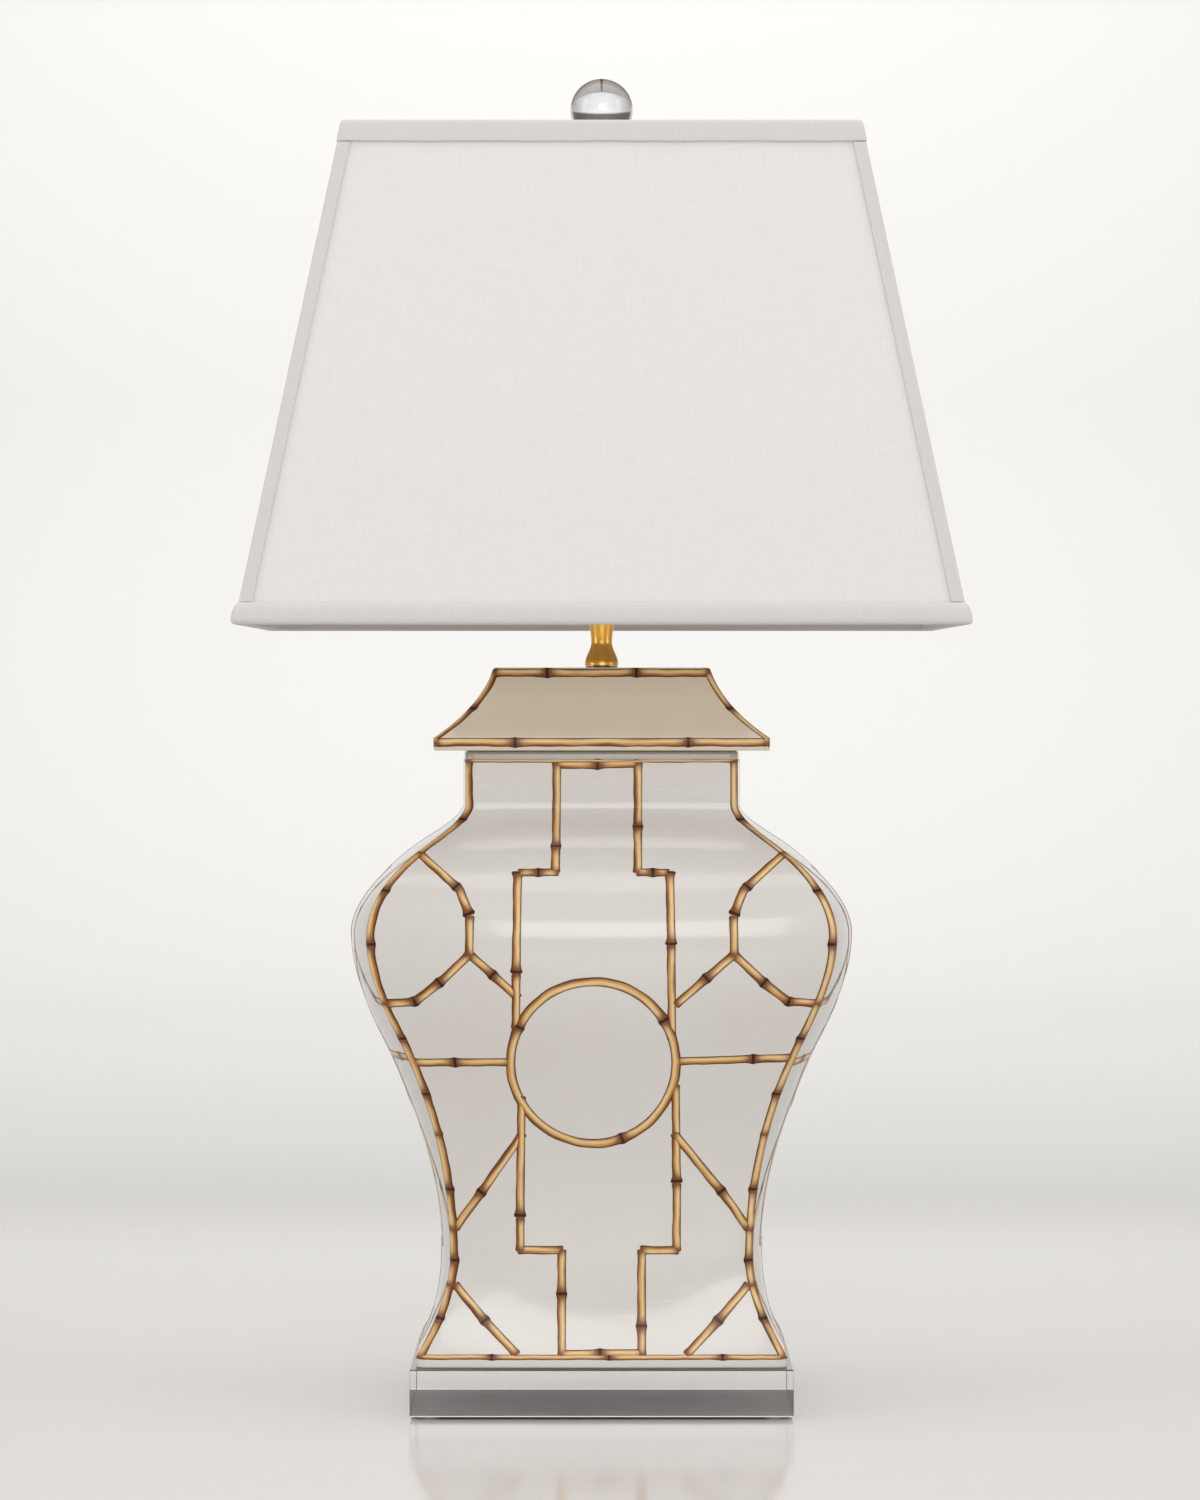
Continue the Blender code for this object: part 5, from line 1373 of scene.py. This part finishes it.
class LAMP_OT_harp(bpy.types.Operator):
    """Harp: straight legs, a cubic flare and half an ellipse over the bulb; its stud and ferrules
    are turned"""

    bl_idname = "lamp.harp"
    bl_label = "Harp"

    def execute(self, context):
        low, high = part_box("harp_bow")
        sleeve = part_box("ferrule_sleeve_right")
        wire, spread, half = mm(1.6), (sleeve[0][0] + sleeve[1][0]) / 2, mm(57)
        straight, flare = mm(24), mm(75)
        leg = low[2] + straight
        widest = leg + flare
        crown = high[2] - wire - widest
        z = np.linspace(leg, widest, 40)
        right = np.concatenate(
            [
                [(spread, low[2]), (spread, low[2] + straight / 2)],
                np.stack([hermite([leg, widest], [spread, half], [0, 0], z), z], axis=-1),
            ]
        )
        angle = np.linspace(0, np.pi / 2, 50)[1:]
        arc = np.stack([half * np.cos(angle), widest + crown * np.sin(angle)], axis=-1)
        right = np.concatenate([right, arc])
        left = right[:-1] * (-1, 1)
        line = np.concatenate([left, right[::-1]])
        route = np.stack([line[:, 0], np.zeros(len(line)), line[:, 1]], axis=-1)
        tube("harp_wire", route, wire, "brass", "harp", ("harp_bow",))
        low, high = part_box("harp_stud")
        thread_z = np.linspace(low[2] + mm(3.9), high[2] - mm(0.4), 60)
        thread = mm(2.95) + mm(0.15) * np.sin(thread_z / mm(0.94) * 2 * np.pi)
        outline = [
            (0, low[2]), (mm(5.2), low[2]), (mm(5.5), low[2] + mm(0.4)), (mm(5.5), low[2] + mm(3.2)),
            (mm(5.2), low[2] + mm(3.6)), (mm(3.1), low[2] + mm(3.6)), *zip(thread, thread_z),
            (mm(2.5), high[2]), (0, high[2]),
        ]
        turned_piece(
            "harp_top_stud", outline, "brass", "harp", ("harp_stud",), closed=False, steps=48
        )
        for side in ("left", "right"):
            low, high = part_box(f"ferrule_sleeve_{side}")
            at = ((low[0] + high[0]) / 2, 0, (low[2] + high[2]) / 2)
            half_length = (high[2] - low[2]) / 2
            bore, skin = mm(2.0), mm(3.3)
            corners = [(bore, -half_length), (skin, -half_length), (skin, half_length), (bore, half_length)]
            outline = rounded(corners, mm(0.4))
            turned_piece(
                f"ferrule_{side}_sleeve", outline, "brass", f"ferrule_{side}",
                (f"ferrule_sleeve_{side}",), at, steps=48,
            )
        return {"FINISHED"}


class LAMP_OT_socket(bpy.types.Operator):
    """Socket: the turned brass cap, a thin cup that steps out from a throat round the pipe"""

    bl_idname = "lamp.socket"
    bl_label = "Socket"

    def execute(self, context):
        low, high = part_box("socket_cap")
        base, top = low[2], high[2]
        hole, throat, outer, wall = settings().jar.hole_radius, mm(8.5), mm(16.8), mm(0.6)
        shoulder = base + mm(4.8)
        bend = (outer * 0.93, shoulder + mm(1.6))
        skin = np.array([(throat, base), (throat, shoulder), bend, (outer, top - mm(5.6)), (outer, top)])
        lining = skin[1:] - (wall, 0)
        lining[:3, 1] += (wall, wall, mm(0.8))
        outline = [*skin, *lining[::-1], (throat - wall, base + wall), (hole, base + wall), (hole, base)]
        turned_piece("socket_cap_cup", outline, "brass", "base", ("socket_cap",))
        return {"FINISHED"}


class LAMP_OT_bulb(bpy.types.Operator):
    """Bulb: frosted glass, half a sphere on a cubic shoulder, in a cap with a rolled thread"""

    bl_idname = "lamp.bulb"
    bl_label = "Bulb"

    def execute(self, context):
        low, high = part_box("bulb_glass")
        radius, neck, wall = mm(30), mm(12), mm(0.9)
        middle = high[2] - radius
        cap_low, cap_high = (corner[2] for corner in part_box("bulb_cap"))

        def skin(inset):
            z = np.linspace(cap_high, middle, 40)
            shoulder = hermite([cap_high, middle], [neck, radius], [0.15, 0.0], z) - inset
            angle = np.linspace(0, np.pi / 2, 30)[1:]
            inner = radius - inset
            crown = np.stack([inner * np.cos(angle), middle + inner * np.sin(angle)], axis=-1)
            crown[-1, 0] = 0.0
            start = [(neck - inset, low[2])]
            return np.concatenate([start, np.stack([shoulder, z], axis=-1), crown])

        outline = np.concatenate([skin(wall)[::-1], skin(0.0)])
        turned_piece("frosted_bulb", outline, "frosted", "bulb", ("bulb_glass",), closed=False)
        thread_z = np.linspace(cap_low + mm(6), cap_high - mm(3), 90)
        thread = mm(12.72) + mm(0.26) * np.sin(thread_z / mm(3.63) * 2 * np.pi)
        inner = mm(12.5)
        outline = [
            (0, cap_low), (mm(3), cap_low), (mm(4.5), cap_low + mm(1.2)), (mm(10), cap_low + mm(3.6)),
            (mm(12.6), cap_low + mm(5)), *zip(np.maximum(thread, mm(12.55)), thread_z),
            (mm(13), cap_high - mm(2)), (mm(13), cap_high), (inner, cap_high),
            (inner, cap_low + mm(7.5)), (0, cap_low + mm(5)),
        ]
        turned_piece("bulb_screw_cap", outline, "zinc", "bulb", ("bulb_cap",), closed=False)
        return {"FINISHED"}


class LAMP_OT_finial(bpy.types.Operator):
    """Finial: a crystal ball bored for its rod, on a turned brass seat"""

    bl_idname = "lamp.finial"
    bl_label = "Finial"

    def execute(self, context):
        radius = mm(19.25)
        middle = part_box("crystal_ball")[1][2] - radius
        rod = mm(1.1)
        bore = rod + GAP
        base_low, base_high = (corner[2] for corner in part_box("finial_base"))
        angle = np.linspace(-np.pi / 2 + math.asin(bore / radius), np.pi / 2, 90)
        sphere = np.stack([radius * np.cos(angle), middle + radius * np.sin(angle)], axis=-1)
        sphere[-1, 0] = 0.0
        outline = np.concatenate([[(0, base_high + GAP), (bore, base_high + GAP)], sphere])
        turned_piece(
            "crystal_finial", outline, "crystal", "finial", ("crystal_ball",),
            closed=False, steps=128,
        )
        seat_r = mm(6.2)
        turn = np.linspace(seat_r, rod, 12)
        seat = np.stack([turn, middle - np.sqrt((radius + GAP) ** 2 - turn**2)], axis=-1)
        hollow = mm(3.5)
        hollow_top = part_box("harp_stud")[1][2] + GAP
        rise = mm(12.4)
        z = np.linspace(base_low + rise * 0.22, base_low + rise * 0.80, 24)
        knees = [z[0], base_low + rise * 0.5, z[-1]]
        waist = hermite(knees, [mm(7.0), mm(5.0), mm(6.5)], [-0.6, 0, 0.6], z)
        outline = [
            (0, hollow_top), (hollow, hollow_top), (hollow, base_low), (mm(6.9), base_low),
            (mm(7.2), base_low + mm(0.4)), (mm(7.2), base_low + mm(2.2)), *zip(waist, z),
            (mm(6.7), base_low + rise * 0.85), (mm(6.7), seat[0, 1] - GAP), *seat, (rod, base_high), (0, base_high),
        ]
        turned_piece("finial_seat", outline, "brass", "finial", ("finial_base",), closed=False)
        return {"FINISHED"}


FRAME_FINISHES = {
    "acrylic_plinth": "acrylic",
    "threaded_pipe": "zinc",
    "base_washer": "zinc",
    "lock_washer": "zinc",
    "hex_nut": "zinc",
    "cord_grommet": "bush",
    # Dark bronze on the check ring partly stands in for the shadow line where the neck meets the lid.
    "check_ring": "bronze",
    "harp_saddle": "brass",
    "socket_shell": "brass",
    "screw_shell": "brass",
    "centre_contact": "brass",
    "socket_liner": "fibre",
    "socket_core": "phenolic",
    "switch_knob": "phenolic",
    "switch_shaft": "brass",
    "spider_washer": "bronze",
    "top_ring": "enamel",
    "bottom_ring": "enamel",
}


class LAMP_OT_frame_finishes(bpy.types.Operator):
    """Finishes for the frame's own pieces that stay as they are"""

    bl_idname = "lamp.frame_finishes"
    bl_label = "Frame finishes"

    def execute(self, context):
        finishes = dict(FRAME_FINISHES)
        finishes.update({f"bumper_pad_{i}": "rubber" for i in (1, 2, 3, 4)})
        finishes.update({f"spider_arm_{face}": "bronze" for face in FACES})
        for end in ("front", "back"):
            finishes.update({f"upright_{end}_{side}": "enamel" for side in ("left", "right")})
        for node, finish in finishes.items():
            item = bpy.data.objects[node]
            for slot in item.material_slots:
                slot.material = finish_of(finish)
        return {"FINISHED"}


# ---------------------------------------------------------------- stage
def area_light(name, at, target, size, power):
    """Rectangular soft light at a place, facing a target."""
    light = bpy.data.lights.new(name, "AREA")
    light.shape = "RECTANGLE"
    light.size, light.size_y = size
    light.energy = power
    item = bpy.data.objects.new(name, light)
    item.location = at
    direction = np.asarray(target, dtype=float) - np.asarray(at, dtype=float)
    yaw = math.atan2(direction[0], -direction[1])
    pitch = math.atan2(math.hypot(direction[0], direction[1]), -direction[2])
    item.rotation_euler = (pitch, 0.0, yaw + math.pi)
    item.visible_transmission = False
    bpy.context.scene.collection.objects.link(item)
    return item


class LAMP_OT_stage(bpy.types.Operator):
    """Studio: a pale sweep that curves up behind the lamp, soft lights and the camera"""

    bl_idname = "lamp.stage"
    bl_label = "Studio"

    def execute(self, context):
        s, c = settings().stage, settings().colours
        scene = context.scene
        turn = np.linspace(0, np.pi / 2, s.strip_steps)
        bend, depth, height = 0.9, 3.4, 6.0
        run = np.concatenate([[-7.0], depth + bend * np.sin(turn), [depth + bend]])
        rise = np.concatenate([[0.0], bend * (1 - np.cos(turn)), [height]])
        x = np.array([-8.0, 8.0])
        points = np.stack(
            np.broadcast_arrays(x[None, :], run[:, None], rise[:, None]), axis=-1
        )
        mesh = bpy.data.meshes.new("studio_sweep")
        mesh.from_pydata(points.reshape(-1, 3).tolist(), [], grid_faces(len(run), 2).tolist())
        mesh.shade_smooth()
        shader = Shader("studio_paper")
        cloud = shader.noise(shader.place(), 1.5, 2.0)
        spot = shader.node("ShaderNodeSeparateXYZ", Vector=shader.place())
        height = spot["Z"]
        level = (height.ramp(0.0, 0.12) + spot["Y"].ramp(0.5, 1.6)).clamp()
        mesh.materials.append(
            shader.surface(
                # Painted shade: above 1.5 m the sweep is nearly black, standing in for the unlit room above that
                # the crystal ball shows.
                Base_Color=shader.mix(
                    height.ramp(1.50, 1.80),
                    shader.mix(level, tuple(c.floor), tuple(c.wall)),
                    tint(c.wall, 0.12),
                ),
                Roughness=level * 0.6 + cloud * 0.04 + 0.10,
                Specular_IOR_Level=0.5,
            )
        )
        sweep = bpy.data.objects.new("studio_sweep", mesh)
        scene.collection.objects.link(sweep)

        world = bpy.data.worlds.new("studio_air")
        world.use_nodes = True
        background = world.node_tree.nodes["Background"]
        background.inputs["Color"].default_value = (1.0, 0.99, 0.975, 1.0)
        background.inputs["Strength"].default_value = 0.58
        scene.world = world
        middle = (0, 0, 0.4)
        area_light("left_window", (-2.2, -0.9, 1.1), middle, (1.0, 2.0), 11)
        area_light("right_window", (2.2, -0.9, 1.1), middle, (1.0, 2.0), 10)
        area_light("overhead", (0, -0.3, 2.6), middle, (2.4, 2.0), 20)
        area_light("front_fill", (0.3, -3.8, 1.3), middle, (2.4, 1.8), 36)
        area_light("back_wall_wash", (0, 2.4, 2.6), (0, 4.3, 0.5), (3.4, 0.8), 42)

        camera = bpy.data.cameras.new("camera")
        camera.lens = s.lens
        camera.sensor_width = 36.0
        camera.shift_y = s.rise
        camera.clip_end = 50.0
        view = bpy.data.objects.new("camera", camera)
        view.location = (-0.001, -s.distance, s.eye_height)
        view.rotation_euler = (math.pi / 2, 0, 0)
        scene.collection.objects.link(view)
        scene.camera = view
        scene.view_settings.view_transform = "Standard"
        return {"FINISHED"}


class LAMP_PT_panel(bpy.types.Panel):
    """Sidebar panel with the lamp's sizes, colours and builders"""

    bl_idname = "LAMP_PT_panel"
    bl_label = "Ginger Jar Lamp"
    bl_space_type = "VIEW_3D"
    bl_region_type = "UI"
    bl_category = "Lamp"

    def draw(self, context):
        lamp = settings()
        for group in (lamp.jar, lamp.lid, lamp.trellis, lamp.shade, lamp.colours, lamp.stage):
            box = self.layout.box()
            for key in group.__annotations__:
                box.prop(group, key)
        for builder in OPERATORS:
            self.layout.operator(builder.bl_idname)


GROUPS = (JarSizes, LidSizes, TrellisSizes, ShadeSizes, LampColours, StageSizes, LampSettings)
OPERATORS = (
    LAMP_OT_stage,
    LAMP_OT_jar,
    LAMP_OT_lid,
    LAMP_OT_trellis,
    LAMP_OT_lid_trellis,
    LAMP_OT_panels,
    LAMP_OT_tapes,
    LAMP_OT_neck,
    LAMP_OT_harp,
    LAMP_OT_socket,
    LAMP_OT_bulb,
    LAMP_OT_finial,
    LAMP_OT_frame_finishes,
)


def register():
    for item in (*GROUPS, *OPERATORS, LAMP_PT_panel):
        bpy.utils.register_class(item)
    bpy.types.Scene.ginger_jar_lamp = PointerProperty(type=LampSettings)


def unregister():
    del bpy.types.Scene.ginger_jar_lamp
    for item in reversed((*GROUPS, *OPERATORS, LAMP_PT_panel)):
        bpy.utils.unregister_class(item)


def main():
    register()
    for builder in OPERATORS:
        category, name = builder.bl_idname.split(".")
        getattr(getattr(bpy.ops, category), name)()


if __name__ == "__main__":
    main()
